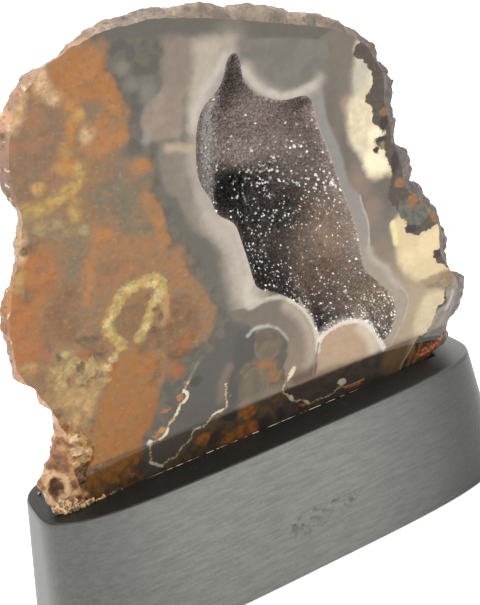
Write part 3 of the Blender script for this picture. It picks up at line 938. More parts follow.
# %% Join the stone
POLISHED, SKIN, HOLLOW = range(3)
WELD_AT_CUT = 0.003


def join_stone(parts):
    mesh_maker = bmesh.new()
    for slot, mesh in parts:
        known = len(mesh_maker.faces)
        mesh_maker.from_mesh(mesh)
        mesh_maker.faces.ensure_lookup_table()
        for face in mesh_maker.faces[known:]:
            face.material_index = slot
            face.smooth = slot != POLISHED
    bmesh.ops.remove_doubles(mesh_maker, verts=mesh_maker.verts[:], dist=WELD_AT_CUT)
    bmesh.ops.triangulate(mesh_maker, faces=[face for face in mesh_maker.faces if len(face.verts) > 4])
    open_edges = sum(edge.is_boundary for edge in mesh_maker.edges)
    bmesh.ops.recalc_face_normals(mesh_maker, faces=mesh_maker.faces[:])
    stone_mesh = mesh_of(mesh_maker, "agate_geode_stone")
    print("stone of", len(stone_mesh.vertices), "points with", open_edges, "open edges")
    return stone_mesh


stone_mesh = join_stone(((POLISHED, sheet), (SKIN, skin), (HOLLOW, hollow)))

# %% [markdown]
# Every point of the face gets its distance to each marking as an attribute, which the material reads by
# name. The distance from the hollow's mouth is stored too, because the agate's thin layers follow it.

# %% Store the distances
FAR_AWAY = 50.0


def places_of(mesh):
    places = np.empty(len(mesh.vertices) * 3)
    mesh.vertices.foreach_get("co", places)
    return places.reshape(-1, 3)


def store(mesh, name, values):
    attribute = mesh.attributes.new(name, "FLOAT", "POINT")
    attribute.data.foreach_set("value", np.ascontiguousarray(values, np.float32))


def store_markings(mesh):
    places = places_of(mesh)
    on_face = np.abs(places[:, 2]) < FLAT
    for each in MARKINGS:
        values = np.full(len(places), FAR_AWAY)
        values[on_face] = np.min([shape(places[on_face, :2]) for shape in each["shapes"]], axis=0)
        store(mesh, each["name"], values)


store_markings(stone_mesh)
store(stone_mesh, "from_mouth", distance_to(places_of(stone_mesh)[:, :2], mouth_edge))
print(len(stone_mesh.attributes), "attributes on the stone")

# %% [markdown]
# A material is a chain of nodes, and the finishes use the same few links again and again: a noise of a
# certain size, a soft threshold, a mix of two colours. This class gives each of them one short call, so
# that a finish reads like a recipe.

# %% Short calls for nodes
class Finish:
    """A material that is being put together."""

    def __init__(self, name):
        self.material = bpy.data.materials.new(name)
        self.material.use_nodes = True
        self.tree = self.material.node_tree
        self.shader = self.tree.nodes["Principled BSDF"]
        self.noises = {}
        self.place = self.vector("SCALE", self.node("ShaderNodeTexCoord").outputs["Object"], Scale=1 / MM)

    def feed(self, socket, value):
        if isinstance(value, bpy.types.NodeSocket):
            self.tree.links.new(value, socket)
        elif hasattr(value, "__len__") and len(value) == 3 and len(socket.default_value) == 4:
            socket.default_value = (*value, 1.0)
        else:
            socket.default_value = value

    def node(self, kind, settings=(), **inputs):
        made = self.tree.nodes.new(kind)
        for name, value in dict(settings).items():
            setattr(made, name, value)
        for name, value in inputs.items():
            self.feed(made.inputs[name.replace("_", " ")], value)
        return made

    def math(self, operation, *values, kind="ShaderNodeMath", **inputs):
        made = self.node(kind, {"operation": operation}, **inputs)
        for socket, value in zip(made.inputs, values):
            self.feed(socket, value)
        return made.outputs[0]

    def vector(self, operation, *values, **inputs):
        return self.math(operation, *values, kind="ShaderNodeVectorMath", **inputs)

    def value(self, name):
        """An attribute that is stored on the mesh."""
        return self.node("ShaderNodeAttribute", {"attribute_name": name}).outputs["Fac"]

    def part(self, axis):
        """How far along x, y or z the place lies, in millimetres."""
        return self.node("ShaderNodeSeparateXYZ", Vector=self.place).outputs[axis]

    def noise(self, size, detail=3.0, shift=0.0, stretch=None, rough=0.55):
        """A cloud from 0 to 1 whose lumps are about one size across, in millimetres."""
        key = (size, detail, shift, stretch, rough)
        if key not in self.noises:
            where = self.vector("ADD", self.place, (shift, 2 * shift, 0.0)) if shift else self.place
            if stretch:
                where = self.vector("MULTIPLY", where, stretch)
            made = self.node("ShaderNodeTexNoise", Vector=where, Scale=1 / size, Detail=detail,
                             Roughness=rough)
            self.noises[key] = made.outputs["Fac"]
        return self.noises[key]

    def cells(self, size):
        """The distance to the middle of the nearest pebble, for pebbles about one size across."""
        return self.node("ShaderNodeTexVoronoi", Vector=self.place, Scale=1 / size).outputs["Distance"]

    def fade(self, value, start, end, kind="SMOOTHSTEP"):
        """0 up to the start, 1 from the end, and soft between them."""
        made = self.node("ShaderNodeMapRange", {"interpolation_type": kind}, Value=value,
                         From_Min=min(start, end), From_Max=max(start, end),
                         To_Min=float(start >= end), To_Max=float(start < end))
        return made.outputs["Result"]

    def times(self, *values):
        """The product of two values or more."""
        product = values[0]
        for value in values[1:]:
            product = self.math("MULTIPLY", product, value)
        return product

    def mix(self, share, first, second, how="MIX"):
        made = self.node("ShaderNodeMix", {"data_type": "RGBA", "blend_type": how})
        for socket, value in (("Factor", share), (6, first), (7, second)):
            self.feed(made.inputs[socket], value)
        return made.outputs[2]

    def ramp(self, value, stops):
        """A colour for each value, blended between the stops."""
        low, high = stops[0][0], stops[-1][0]
        made = self.node("ShaderNodeValToRGB", Fac=self.fade(value, low, high, "LINEAR"))
        marks = made.color_ramp.elements
        while len(marks) < len(stops):
            marks.new(0.5)
        for mark, (height, colour) in zip(marks, stops):
            mark.position = (height - low) / (high - low)
            mark.color = (*colour, 1.0)
        return made.outputs["Color"]

    def bump(self, height, depth, under=None):
        """Tilts the surface as if the height, from 0 to 1, were that many millimetres deep."""
        made = self.node("ShaderNodeBump", Height=height, Distance=depth * MM, Strength=1.0)
        if under:
            self.feed(made.inputs["Normal"], under)
        return made.outputs["Normal"]

    def finish(self, colour, roughness, normal=None, **constants):
        if normal:
            self.feed(self.shader.inputs["Normal"], normal)
        for name, value in {"Base_Color": colour, "Roughness": roughness, **constants}.items():
            self.feed(self.shader.inputs[name.replace("_", " ")], value)
        return self.material


print("a finish has", len([call for call in vars(Finish) if not call.startswith("_")]), "short calls")

# %% [markdown]
# The mirrored sheet lays a veil over the polished stone, and strong light makes everything brighter than
# its own colour. These calls take both off and turn a colour as it is seen into the surface's own. The
# strip above the wood, the rough skin and the wood have no veil.

# %% Own colours
VEIL = 0.066
LIGHT_ON_FACE = 1.62
PLAIN_LIGHT = 1.3
DARKEST, DULLEST_SHARE = 0.006, 0.05
DARK_FOOT = {"slope": -0.0114, "height": 8.40, "share": 0.55}


def linear(seen):
    """A colour as it is written, from 0 to 255, as light."""
    shares = [part / 255 for part in seen]
    return [part / 12.92 if part <= 0.04045 else ((part + 0.055) / 1.055) ** 2.4 for part in shares]


def under_polish(seen):
    """The stone's own colour: what is seen through the polish, less the veil of the mirrored floor."""
    own = [(part - VEIL) / LIGHT_ON_FACE for part in linear(seen)]
    return tuple(max(part, DULLEST_SHARE * max(own), DARKEST) for part in own)


def in_strip(seen):
    """The stone's own colour in the strip above the wood."""
    return tuple(part / (LIGHT_ON_FACE * DARK_FOOT["share"]) for part in linear(seen))


def in_light(seen, light=PLAIN_LIGHT):
    """The own colour of a surface that has no veil over it."""
    return tuple(part / light for part in linear(seen))


print("a grey of 110 under the polish is", round(under_polish((110, 110, 110))[0], 3))

# %% [markdown]
# Each marking is painted over those before it. A noise added to its distance makes the edge ragged, and the
# soft edge turns the distance into a share from 0 to 1. Small clouds over the jasper keep any patch of it
# from being one flat colour.

# %% Paint a marking
EDGE_REACH = 4.0
MOTTLE_SHIFT, MOTTLE_SPREAD = 11.0, 0.09
# Size, shift, start, end, strength and colour of each cloud.
JASPER_CLOUDS = [(2.6, 41.0, 0.46, 0.62, 0.42, (138, 124, 100)),
                 (1.9, 53.0, 0.5, 0.64, 0.34, (176, 122, 84)),
                 (1.5, 67.0, 0.52, 0.66, 0.34, (128, 104, 86)),
                 (1.2, 71.0, 0.58, 0.68, 0.26, (186, 156, 112))]
JASPER_EDGE = (1.0, -1.5)


def mottled(finish, each):
    shade = in_strip if each["strip"] else under_polish
    colour = shade(each["colour"])
    if each["low_colour"]:
        height = finish.fade(finish.part("Y"), *each["low"])
        colour = finish.mix(height, shade(each["low_colour"]), colour)
    if each["second"]:
        cloud = finish.noise(each["mottle"], shift=MOTTLE_SHIFT)
        share = finish.fade(cloud, 1.0 - each["share"] - MOTTLE_SPREAD, 1.0 - each["share"] + MOTTLE_SPREAD)
        colour = finish.mix(share, colour, shade(each["second"]))
    return colour


def paint(finish, under, each):
    edge = finish.math("SUBTRACT", finish.noise(each["grain"]), 0.5)
    distance = finish.math("MULTIPLY_ADD", edge, EDGE_REACH * each["ragged"], finish.value(each["name"]))
    inside = finish.fade(distance, each["soft"] / 2, -each["soft"] / 2)
    return finish.mix(inside, under, mottled(finish, each))


def clouded_jasper(finish, colour):
    jasper = finish.fade(finish.value("jasper"), *JASPER_EDGE)
    for size, shift, start, end, strength, seen in JASPER_CLOUDS:
        cloud = finish.fade(finish.noise(size, shift=shift), start, end)
        colour = finish.mix(finish.times(cloud, strength, jasper), colour, under_polish(seen))
    return colour


print(len(JASPER_CLOUDS), "kinds of cloud over the jasper")

# %% [markdown]
# The polish is a smooth surface that mirrors a few percent of the light. Chalcedony grows in thin layers,
# so a very faint banding follows the hollow's mouth. The stone is darker below the line where the polish
# mirrors the wood, and the crumbly margin is matt and rough.

# %% Polished stone
BASE_COAT = (114, 110, 103)
BAND_WIDTH, BAND_STRENGTH, BAND_WANDER = 0.9, 0.012, 2.0
CLOUD_STRENGTH, CLOUD_LOWEST = 0.35, 0.825
STRIP_EDGE, MARGIN_EDGE = (0.3, -0.3), (0.6, -0.6)
POLISH_ROUGHNESS, MARGIN_ROUGHER, MARGIN_DEPTH = 0.045, 0.5, 0.9


def make_polished_stone():
    finish = Finish("polished_agate")
    wander = finish.math("MULTIPLY_ADD", finish.noise(5.0), BAND_WANDER, finish.value("from_mouth"))
    band = finish.math("SINE", finish.times(wander, 2 * math.pi / BAND_WIDTH))
    colour = under_polish(BASE_COAT)
    for each in MARKINGS:
        colour = paint(finish, colour, each)
    colour = clouded_jasper(finish, colour)
    cloud = finish.math("MULTIPLY_ADD", finish.noise(1.7, detail=5.0, shift=5.0), CLOUD_STRENGTH,
                        CLOUD_LOWEST)
    shade = finish.math("MULTIPLY_ADD", band, BAND_STRENGTH, cloud)
    colour = finish.mix(1.0, colour, shade, "MULTIPLY")
    line = finish.math("MULTIPLY_ADD", finish.part("X"), DARK_FOOT["slope"], DARK_FOOT["height"])
    foot = finish.fade(finish.math("SUBTRACT", finish.part("Y"), line), *STRIP_EDGE)
    colour = finish.mix(finish.times(foot, 1.0 - DARK_FOOT["share"]), colour, (0.0, 0.0, 0.0))
    crumbly = finish.fade(finish.value("crumbly_margin"), *MARGIN_EDGE)
    roughness = finish.math("MULTIPLY_ADD", crumbly, MARGIN_ROUGHER, POLISH_ROUGHNESS)
    crumbs = finish.times(finish.noise(1.2, detail=4.0, shift=29.0), crumbly)
    return finish.finish(colour, roughness, finish.bump(crumbs, MARGIN_DEPTH), Specular_IOR_Level=0.25,
                         IOR=1.54)


polished_stone = make_polished_stone()
print("polished agate has", len(polished_stone.node_tree.nodes), "nodes")

# %% [markdown]
# The hollow's upper part is a smooth brown with pale blurs, a ledge throws the left side below it into
# black, and the right wall catches the light. Each zone is a few shapes with a soft edge. The rock and the
# crystals on it both take their tone from them.

# %% Tones of the hollow
HOLLOW_LIGHT = 1.22
SMOKY = (104, 91, 84)
HOLLOW_ZONES = [
    ("upper_brown", (122, 105, 97), [blob(7.5, 73.3, 10.88, 9.46, -15)], 6),
    ("upper_pale", (142, 128, 121), blobs((4.4, 68.3, 8.58, 2.86, -9), (14, 62.2, 5.97, 3.48, -41),
        (6.4, 76.3, 3.74, 3.27, -15)), 6),
    ("top_dark", (74, 63, 60), blobs((1, 86, 3.13, 4.46, -31), (16, 77.1, 2.87, 1.19, -15),
        (-0.8, 81.3, 1.35, 3.16, -6)), 4),
    ("right_warm", (154, 131, 114), [patch((22.3, 53.4), (24.7, 50.1), (27.1, 44.5), (28.7, 36.1),
        (28.9, 30.7), (24.3, 30.4), (21.4, 36.8), (19.3, 44.5), (19.3, 50.3))], 7),
    ("right_edge", (156, 142, 130), [stroke(1.08, (19.9, 74.5), (21.5, 69.5), (23.5, 61.8), (25.3, 53.9),
        (27.7, 45.1), (28.8, 37.4), (29.6, 32.3), (28.3, 29.6), (27, 27.8))], 3),
    ("middle_dark", (54, 46, 41), blobs((9.6, 50.9, 5.61, 10.19, -9), (15.2, 48.1, 6.25, 7.3, -18),
        (7.8, 34.2, 6.41, 9.07, 0)), 7),
    ("low_warm", (124, 104, 89), [blob(21.9, 29.6, 7.28, 5.6, 10)], 6),
    ("left_dark", (40, 33, 29), [stroke(4.14, (-4.4, 61.6), (0.3, 55.6), (1.4, 47.9), (2, 40.1), (4.3, 32.3),
        (10.7, 24.5)), blob(15.2, 18.9, 3.98, 6.25, -37)], 6),
    ("black_hole", (17, 14, 12), [patch((-7.1, 65.2), (-2.9, 65.3), (1.9, 64.1), (5.7, 61.8), (7.9, 58.8),
        (6.8, 53.8), (3.6, 48.9), (0.8, 42.8), (-0.9, 45.9), (-2.3, 54.7), (-5.3, 59), (-7.8, 62.2))], 4),
    ("strip_shade", (108, 98, 93), [stroke(0.91, (-7.1, 81.7), (-8.6, 77.7), (-9.6, 71.4), (-9.4, 65.9))], 3),
    ("left_strip", (158, 150, 145), [patch((-5.2, 83.9), (-2.1, 82.1), (-1.4, 76.6), (-2.6, 69.4),
        (-4.6, 65.8), (-7, 62.4), (-8.7, 62.4), (-8.1, 66.4), (-7.4, 73), (-6.1, 80.3))], 3.5),
    ("low_right", (146, 130, 111), [blob(33, 20.6, 5.9, 7.08, -20)], 5),
    ("white_fringe", (200, 192, 180), [stroke(0.4, *LOBE_EDGE[5:]), stroke(0.5, *PEACH_EDGE)], 1.2),
]


def zone_shares(places):
    """How much each point belongs to each zone, from 0 to 1."""
    for name, _, shapes, soft in HOLLOW_ZONES:
        distance = np.min([shape(places[:, :2]) for shape in shapes], axis=0)
        yield name, np.clip(0.5 - distance / soft, 0.0, 1.0)


def zone_colour(finish):
    colour = in_light(SMOKY, HOLLOW_LIGHT)
    for name, seen, _, _ in HOLLOW_ZONES:
        colour = finish.mix(finish.value(name), colour, in_light(seen, HOLLOW_LIGHT))
    return colour


for name, values in zone_shares(places_of(stone_mesh)):
    store(stone_mesh, name, values)
print(len(HOLLOW_ZONES), "zones in the hollow")

# %% [markdown]
# The wall between the crystals is the same smoky rock, lighter and darker from place to place, and paler
# where it comes up to the polished face.

# %% Wall of the hollow
WALL_CLOUD, WALL_TONES = 0.8, (0.6, 1.1)
RIM_DEPTH, RIM_SHARE, RIM_COLOUR = (-0.8, -0.1), 0.6, (176, 168, 158)


def scaled(finish, colour, cloud, low, high):
    """The colour made darker or lighter from place to place."""
    return finish.mix(1.0, colour, finish.math("MULTIPLY_ADD", cloud, high - low, low), "MULTIPLY")


def make_hollow_wall():
    finish = Finish("hollow_wall")
    colour = scaled(finish, zone_colour(finish), finish.noise(WALL_CLOUD), *WALL_TONES)
    rim = finish.fade(finish.part("Z"), *RIM_DEPTH)
    colour = finish.mix(finish.times(rim, RIM_SHARE), colour, in_light(RIM_COLOUR))
    return finish.finish(colour, 0.4, finish.bump(finish.noise(0.4), 0.15))


hollow_wall = make_hollow_wall()
print("the hollow's wall has", len(hollow_wall.node_tree.nodes), "nodes")

# %% [markdown]
# By the jasper the skin is a pinkish orange crust, which CRUST tints from the foot up. At the broken end
# lie orange crumbs and the pit, with a pale lip and brown inside. Spots are listed by size, shift, start,
# end and colour.

# %% Tones of the skin
SKIN_LIGHT = 1.95
CRUST = [(4, (214, 172, 130)), (11, (222, 186, 150)), (15, (226, 190, 156)), (22, (228, 182, 142)),
         (31, (216, 168, 132)), (37, (200, 150, 112)), (46, (184, 134, 96)), (50, (182, 124, 80)),
         (58, (196, 142, 92)), (62, (200, 162, 122)), (67, (210, 174, 136)), (70, (200, 168, 140)),
         (75, (156, 118, 92)), (80, (148, 118, 98)), (85, (170, 132, 106)), (90, (226, 174, 132)),
         (95, (180, 146, 116)), (98, (178, 140, 104))]
CRUMBS = [(0.3, (104, 66, 38)), (0.4, (140, 92, 52)), (0.47, (170, 118, 68)), (0.55, (202, 150, 98)),
          (0.66, (234, 200, 152))]
CRUST_SPOTS = [(2.0, 9.0, 0.6, 0.68, (236, 206, 172)), (3.6, 17.0, 0.62, 0.72, (206, 128, 92)),
               (1.5, 23.0, 0.62, 0.7, (140, 98, 66))]
MIDDLE_TONES = ((150, 132, 112), (118, 104, 92))
MIDDLE_SPOTS = [(2.6, 15.0, 0.56, 0.66, (176, 150, 116))]
RIND_TONES = ((88, 84, 79), (112, 100, 92))
RIND_SPOTS = [(1.2, 19.0, 0.6, 0.68, (170, 108, 76)), (2.4, 27.0, 0.6, 0.68, (142, 116, 116))]
LIP_COLOUR, HOLE_COLOUR = (228, 184, 134), (112, 70, 44)
LIP_EDGE, SUNK_EDGE = (1.45, 1.0), (0.95, 0.6)
NEAR_FACE = (-9.0, -6.0)


def skin_tone(seen):
    return in_light(seen, SKIN_LIGHT)


def spotted(finish, colour, spots):
    for size, shift, start, end, seen in spots:
        share = finish.fade(finish.noise(size, shift=shift), start, end)
        colour = finish.mix(share, colour, skin_tone(seen))
    return colour


def wandering(finish, value, cloud, reach):
    """The value moved up and down by a cloud, so that no edge that follows it is straight."""
    return finish.math("MULTIPLY_ADD", finish.math("SUBTRACT", cloud, 0.5), reach, value)


def with_crumbs(finish, crust):
    crumbly = finish.times(finish.fade(finish.part("X"), -43.0, -46.0),
                           finish.fade(finish.part("Y"), 24.0, 18.0))
    crumbs = finish.ramp(finish.noise(3.4, detail=4.0, shift=29.0, rough=0.5),
                         [(at, skin_tone(seen)) for at, seen in CRUMBS])
    return finish.mix(crumbly, crust, crumbs)


def with_hole(finish, crust):
    across = finish.math("SUBTRACT", finish.part("X"), HOLE.x)
    above = finish.math("DIVIDE", finish.math("SUBTRACT", finish.part("Y"), HOLE.y), HOLE_TALLER)
    away = finish.math("SQRT", finish.math("MULTIPLY_ADD", across, across, finish.times(above, above)))
    away = wandering(finish, away, finish.noise(1.5, shift=35.0), 2.2)
    near_face = finish.fade(finish.part("Z"), *NEAR_FACE)
    for (start, end), seen in ((LIP_EDGE, LIP_COLOUR), (SUNK_EDGE, HOLE_COLOUR)):
        share = finish.fade(away, start * HOLE_RADIUS, end * HOLE_RADIUS)
        crust = finish.mix(finish.times(share, near_face), crust, skin_tone(seen))
    return crust


print(len(CRUST), "tones from the foot of the crust to its top")

# %% [markdown]
# Towards the right the crust gives way to a grey middle and then to a dark rind with rust in it. How far
# along the stone a point lies decides between them, and clouds move that border to and fro. Pits are darker
# because dirt stays in them.

# %% Rough skin
BEHIND_CUT = (-4.0, -12.0)
MIDDLE_FROM, RIND_FROM = (-30.0, -16.0), (20.0, 32.0)
PIT_COLOUR, PIT_SHARE = (84, 58, 44), 0.4


def make_rough_skin():
    finish = Finish("rough_skin")
    inward = finish.fade(finish.part("Z"), *BEHIND_CUT)
    along_stone = wandering(finish, finish.part("X"), finish.noise(9.0), 30.0)
    along_stone = wandering(finish, along_stone, finish.noise(20.0, detail=5.0, shift=11.0),
                            finish.times(inward, 120.0))
    height = wandering(finish, finish.part("Y"), finish.noise(5.0, shift=2.0), 9.0)
    height = wandering(finish, height, finish.noise(15.0, detail=5.0, shift=6.0), finish.times(inward, 110.0))
    crust = finish.ramp(height, [(at, skin_tone(seen)) for at, seen in CRUST])
    crust = scaled(finish, crust, finish.noise(2.6, shift=3.0), 0.62, 1.34)
    crust = with_hole(finish, with_crumbs(finish, spotted(finish, crust, CRUST_SPOTS)))
    middle = finish.mix(finish.fade(finish.noise(4.0, shift=5.0), 0.4, 0.6), *map(skin_tone, MIDDLE_TONES))
    rind = finish.mix(finish.fade(finish.noise(1.8, shift=7.0), 0.42, 0.58), *map(skin_tone, RIND_TONES))
    colour = finish.mix(finish.fade(along_stone, *MIDDLE_FROM), crust, spotted(finish, middle, MIDDLE_SPOTS))
    colour = finish.mix(finish.fade(along_stone, *RIND_FROM), colour, spotted(finish, rind, RIND_SPOTS))
    pits = finish.fade(finish.cells(1.3), 0.05, 0.45)
    dirt = finish.math("MULTIPLY_ADD", pits, -PIT_SHARE, PIT_SHARE)
    colour = finish.mix(dirt, colour, skin_tone(PIT_COLOUR))
    grain = finish.bump(finish.noise(0.5, detail=5.0, rough=0.7), 0.22)
    grain = finish.bump(pits, 0.12, under=grain)
    roughness = finish.math("MULTIPLY_ADD", finish.noise(1.1, shift=31.0), 0.5, 0.3)
    return finish.finish(colour, roughness, grain, Specular_IOR_Level=0.4, IOR=1.5)


rough_skin = make_rough_skin()
print("rough skin has", len(rough_skin.node_tree.nodes), "nodes")

# %% [markdown]
# The stone's mesh is in millimetres on the face. Scaling it down and giving the object the face's own place
# puts it where the solid stands.

# %% Stand the stone in the groove
def stand(mesh, name, materials):
    mesh.transform(Matrix.Scale(MM, 4))
    obj = link(bpy.data.objects.new(name, mesh))
    obj.matrix_world = FACE
    for material in materials:
        mesh.materials.append(material)
    return obj


stone = stand(stone_mesh, "agate_geode_stone", (polished_stone, rough_skin, hollow_wall))
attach(stone, "root")
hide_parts("agate_geode")
print("stone stands at", [round(part, 4) for part in stone.matrix_world.translation])

# %% [markdown]
# The hollow is lined with quartz points. They are spread by throwing many places at the wall and keeping
# those that are far enough from the ones kept before. A grid of boxes as wide as the gap makes this quick,
# because only neighbouring boxes have to be looked at.

# %% Scatter places on a wall
CRYSTAL_GAP = 0.46
CRYSTAL_TRIES = 60000


def scattered(mesh, gap, tries, chance):
    """Places on the mesh, none nearer to another than the gap, and the way that it faces there."""
    mesh.calc_loop_triangles()
    corners = np.array([triangle.vertices[:] for triangle in mesh.loop_triangles])
    places = places_of(mesh)
    normals = np.array([vertex.normal[:] for vertex in mesh.vertices])
    a, b, c = (places[corners[:, i]] for i in range(3))
    areas = np.linalg.norm(np.cross(b - a, c - a), axis=1)
    picked = chance.choice(len(corners), tries, p=areas / areas.sum())
    shares = chance.dirichlet((1, 1, 1), tries)
    tried = np.einsum("ij,ijk->ik", shares, places[corners[picked]])
    facing = np.einsum("ij,ijk->ik", shares, normals[corners[picked]])
    taken, kept = {}, []
    for i, cell in enumerate(np.floor(tried / gap).astype(int)):
        around = ((cell[0] + x, cell[1] + y, cell[2] + z) for x in (-1, 0, 1) for y in (-1, 0, 1)
                  for z in (-1, 0, 1))
        if all(np.sum((tried[taken[key]] - tried[i]) ** 2) > gap * gap for key in around if key in taken):
            taken[tuple(cell)] = i
            kept.append(i)
    return tried[kept], facing[kept]


crystal_chance = np.random.default_rng(11)
wall_places, wall_facing = scattered(hollow, CRYSTAL_GAP, CRYSTAL_TRIES, crystal_chance)
print(len(wall_places), "places on the wall of the hollow")

# %% [markdown]
# A fringe of smaller crystals grew along the upper edges of the two lobes and in the corner beside them. It
# is scattered along drawn lines, and what falls inside the mouth is kept.

# %% Fringe along the lobes
FRINGE_COUNT = 460
FRINGE_SPREAD = 0.26
FRINGE_DEPTH = (0.1, 1.3)
FRINGE_CORNER = [(31, 15.5), (33.2, 11.5), (36, 12.6), (37.8, 16.5)]
PLACES_A_STEP = 5


def fringe(chance):
    lines = [drawn(marks, closed=False) for marks in (LOBE_EDGE[4:], PEACH_EDGE, FRINGE_CORNER)]
    line = np.vstack([np.linspace(a, b, PLACES_A_STEP + 1)[:-1] for curve in lines
                      for a, b in zip(curve, curve[1:])])
    picked = line[chance.integers(0, len(line), FRINGE_COUNT)]
    places = np.column_stack([picked + chance.normal(0.0, FRINGE_SPREAD, picked.shape),
                              -chance.uniform(*FRINGE_DEPTH, len(picked))])
    facing = np.column_stack([chance.normal(0.0, 0.4, len(picked)), np.full(len(picked), 0.6),
                              np.full(len(picked), 0.5)])
    inside = inside_of(places[:, :2], mouth_edge)
    return places[inside], facing[inside]


fringe_places, fringe_facing = fringe(crystal_chance)
print(len(fringe_places), "places along the lobes")

# %% [markdown]
# A crystal has thirteen corners: six at its foot, six at its shoulders and one tip. Thousands are made at
# once as rows of numbers, which is far quicker than one object each. Those at the mouth are cut off at the
# polished plane, as the saw did.

# %% Shape of a crystal
CRYSTAL_SIDES = 6
CRYSTAL_CORNERS = 2 * CRYSTAL_SIDES + 1
CRYSTAL_LEAN = 0.28
CRYSTAL_FOOT = 0.3
CRYSTAL_WIDTHS = (0.8, 1.2)
SHOULDER_HEIGHTS, SHOULDER_SLOPE = (0.1, 0.9), 0.25
TIP_STEEPNESS, TIP_HEIGHTS = 0.8, (0.75, 1.2)
CUT_DEPTH = 0.04


def one_crystal():
    """The faces of one crystal as rows of corner numbers: its sides, then the triangles of its point."""
    steps = [(i, (i + 1) % CRYSTAL_SIDES) for i in range(CRYSTAL_SIDES)]
    sides = [(i, j, CRYSTAL_SIDES + j, CRYSTAL_SIDES + i) for i, j in steps]
    return sides + [(CRYSTAL_SIDES + i, CRYSTAL_SIDES + j, CRYSTAL_CORNERS - 1) for i, j in steps]


def crystal_points(places, facing, radii, chance):
    """Corner rows and face rows for one six-sided crystal at each place."""
    count = len(places)
    axis = facing / np.linalg.norm(facing, axis=1, keepdims=True)
    axis = axis + chance.normal(0.0, CRYSTAL_LEAN, (count, 3))
    axis /= np.linalg.norm(axis, axis=1, keepdims=True)
    side = np.cross(axis, chance.normal(size=(count, 3)))
    side /= np.linalg.norm(side, axis=1, keepdims=True)
    other = np.cross(axis, side)
    angles = np.arange(CRYSTAL_SIDES) * math.pi / 3
    ring = (side[:, None] * np.cos(angles)[None, :, None] + other[:, None] * np.sin(angles)[None, :, None])
    ring *= (radii[:, None] * chance.uniform(*CRYSTAL_WIDTHS, (count, CRYSTAL_SIDES)))[:, :, None]
    level = radii[:, None] * chance.uniform(*SHOULDER_HEIGHTS, (count, 1))
    slope = chance.uniform(-SHOULDER_SLOPE, SHOULDER_SLOPE, (count, CRYSTAL_SIDES))
    shoulder = level + radii[:, None] * slope
    tip = shoulder.mean(axis=1) + radii * TIP_STEEPNESS * chance.uniform(*TIP_HEIGHTS, count)
    feet = places[:, None] + ring - axis[:, None] * CRYSTAL_FOOT
    shoulders = places[:, None] + ring + axis[:, None] * shoulder[:, :, None]
    tips = (places + axis * tip[:, None])[:, None]
    corners = np.concatenate([feet, shoulders, tips], axis=1).reshape(-1, 3)
    corners[:, 2] = np.minimum(corners[:, 2], -CUT_DEPTH)
    one = one_crystal()
    faces = [tuple(CRYSTAL_CORNERS * k + corner for corner in face) for k in range(count) for face in one]
    return corners, faces


print("a crystal has", CRYSTAL_CORNERS, "corners and", len(one_crystal()), "faces")

# %% [markdown]
# Smoky quartz takes the tone of its zone, each crystal a little lighter or darker than the next. Some are
# pale dots, and the sparkling ones are nearly white, as if a facet faced the light.

# %% Smoky quartz
DOT_COLOUR, SPARKLE_COLOUR = (190, 182, 176), (0.9, 0.89, 0.87)
CRYSTAL_TONES = (0.66, 1.12)


def make_quartz():
    finish = Finish("smoky_quartz")
    colour = zone_colour(finish)
    colour = scaled(finish, colour, finish.value("crystal_tone"), *CRYSTAL_TONES)
    colour = finish.mix(finish.value("pale_dot"), colour, in_light(DOT_COLOUR, HOLLOW_LIGHT))
    colour = finish.mix(finish.value("sparkle"), colour, SPARKLE_COLOUR)
    return finish.finish(colour, 0.45, Specular_IOR_Level=0.2, IOR=1.54)


smoky_quartz = make_quartz()
print("smoky quartz has", len(smoky_quartz.node_tree.nodes), "nodes")

# %% [markdown]
# Crystals sparkle most in the lower right corner, often in the lower middle, seldom high up and hardly in
# the black corner at the left. Each draws lots against the chance of its place, and the sparkling ones of
# the lower part are finer than the rest.

# %% Crystals
CRYSTAL_RADIUS, FRINGE_RADIUS = (0.2, 0.42), (0.13, 0.26)
SPARKLING = blobs((9.6, 50.2, 9.7, 12.77, -18), (15.6, 28.7, 16.59, 8.29, -40),
                  (21.3, 48.9, 4.22, 10.56, -5))
FROSTED = [blob(33.9, 16.9, 5.38, 7.17, -36)]
PALE_DOTS = blobs((-5.4, 72.4, 2.29, 10.54, -16), (11, 65.4, 14.67, 5.38, -25))
QUIET = [blob(-1.6, 58.0, 5.0, 6.5)]
OFTEN_IN_FROST, OFTEN_IN_SPARKLING, OFTEN_ELSEWHERE = 0.5, 0.2, (0.075, 0.02)
QUIET_SHARE = 0.3
DOT_SHARE = 0.06
FINE_BELOW, FEW_ABOVE = 54.0, 70.0
FINE_SIZES = (0.45, 0.85)
ZONE_BLUR = 0.4
SPARKLE_STRENGTHS, DOT_STRENGTHS = (0.15, 1.0), (0.3, 0.8)


def within(places, shapes):
    return np.min([shape(places[:, :2]) for shape in shapes], axis=0) < 0


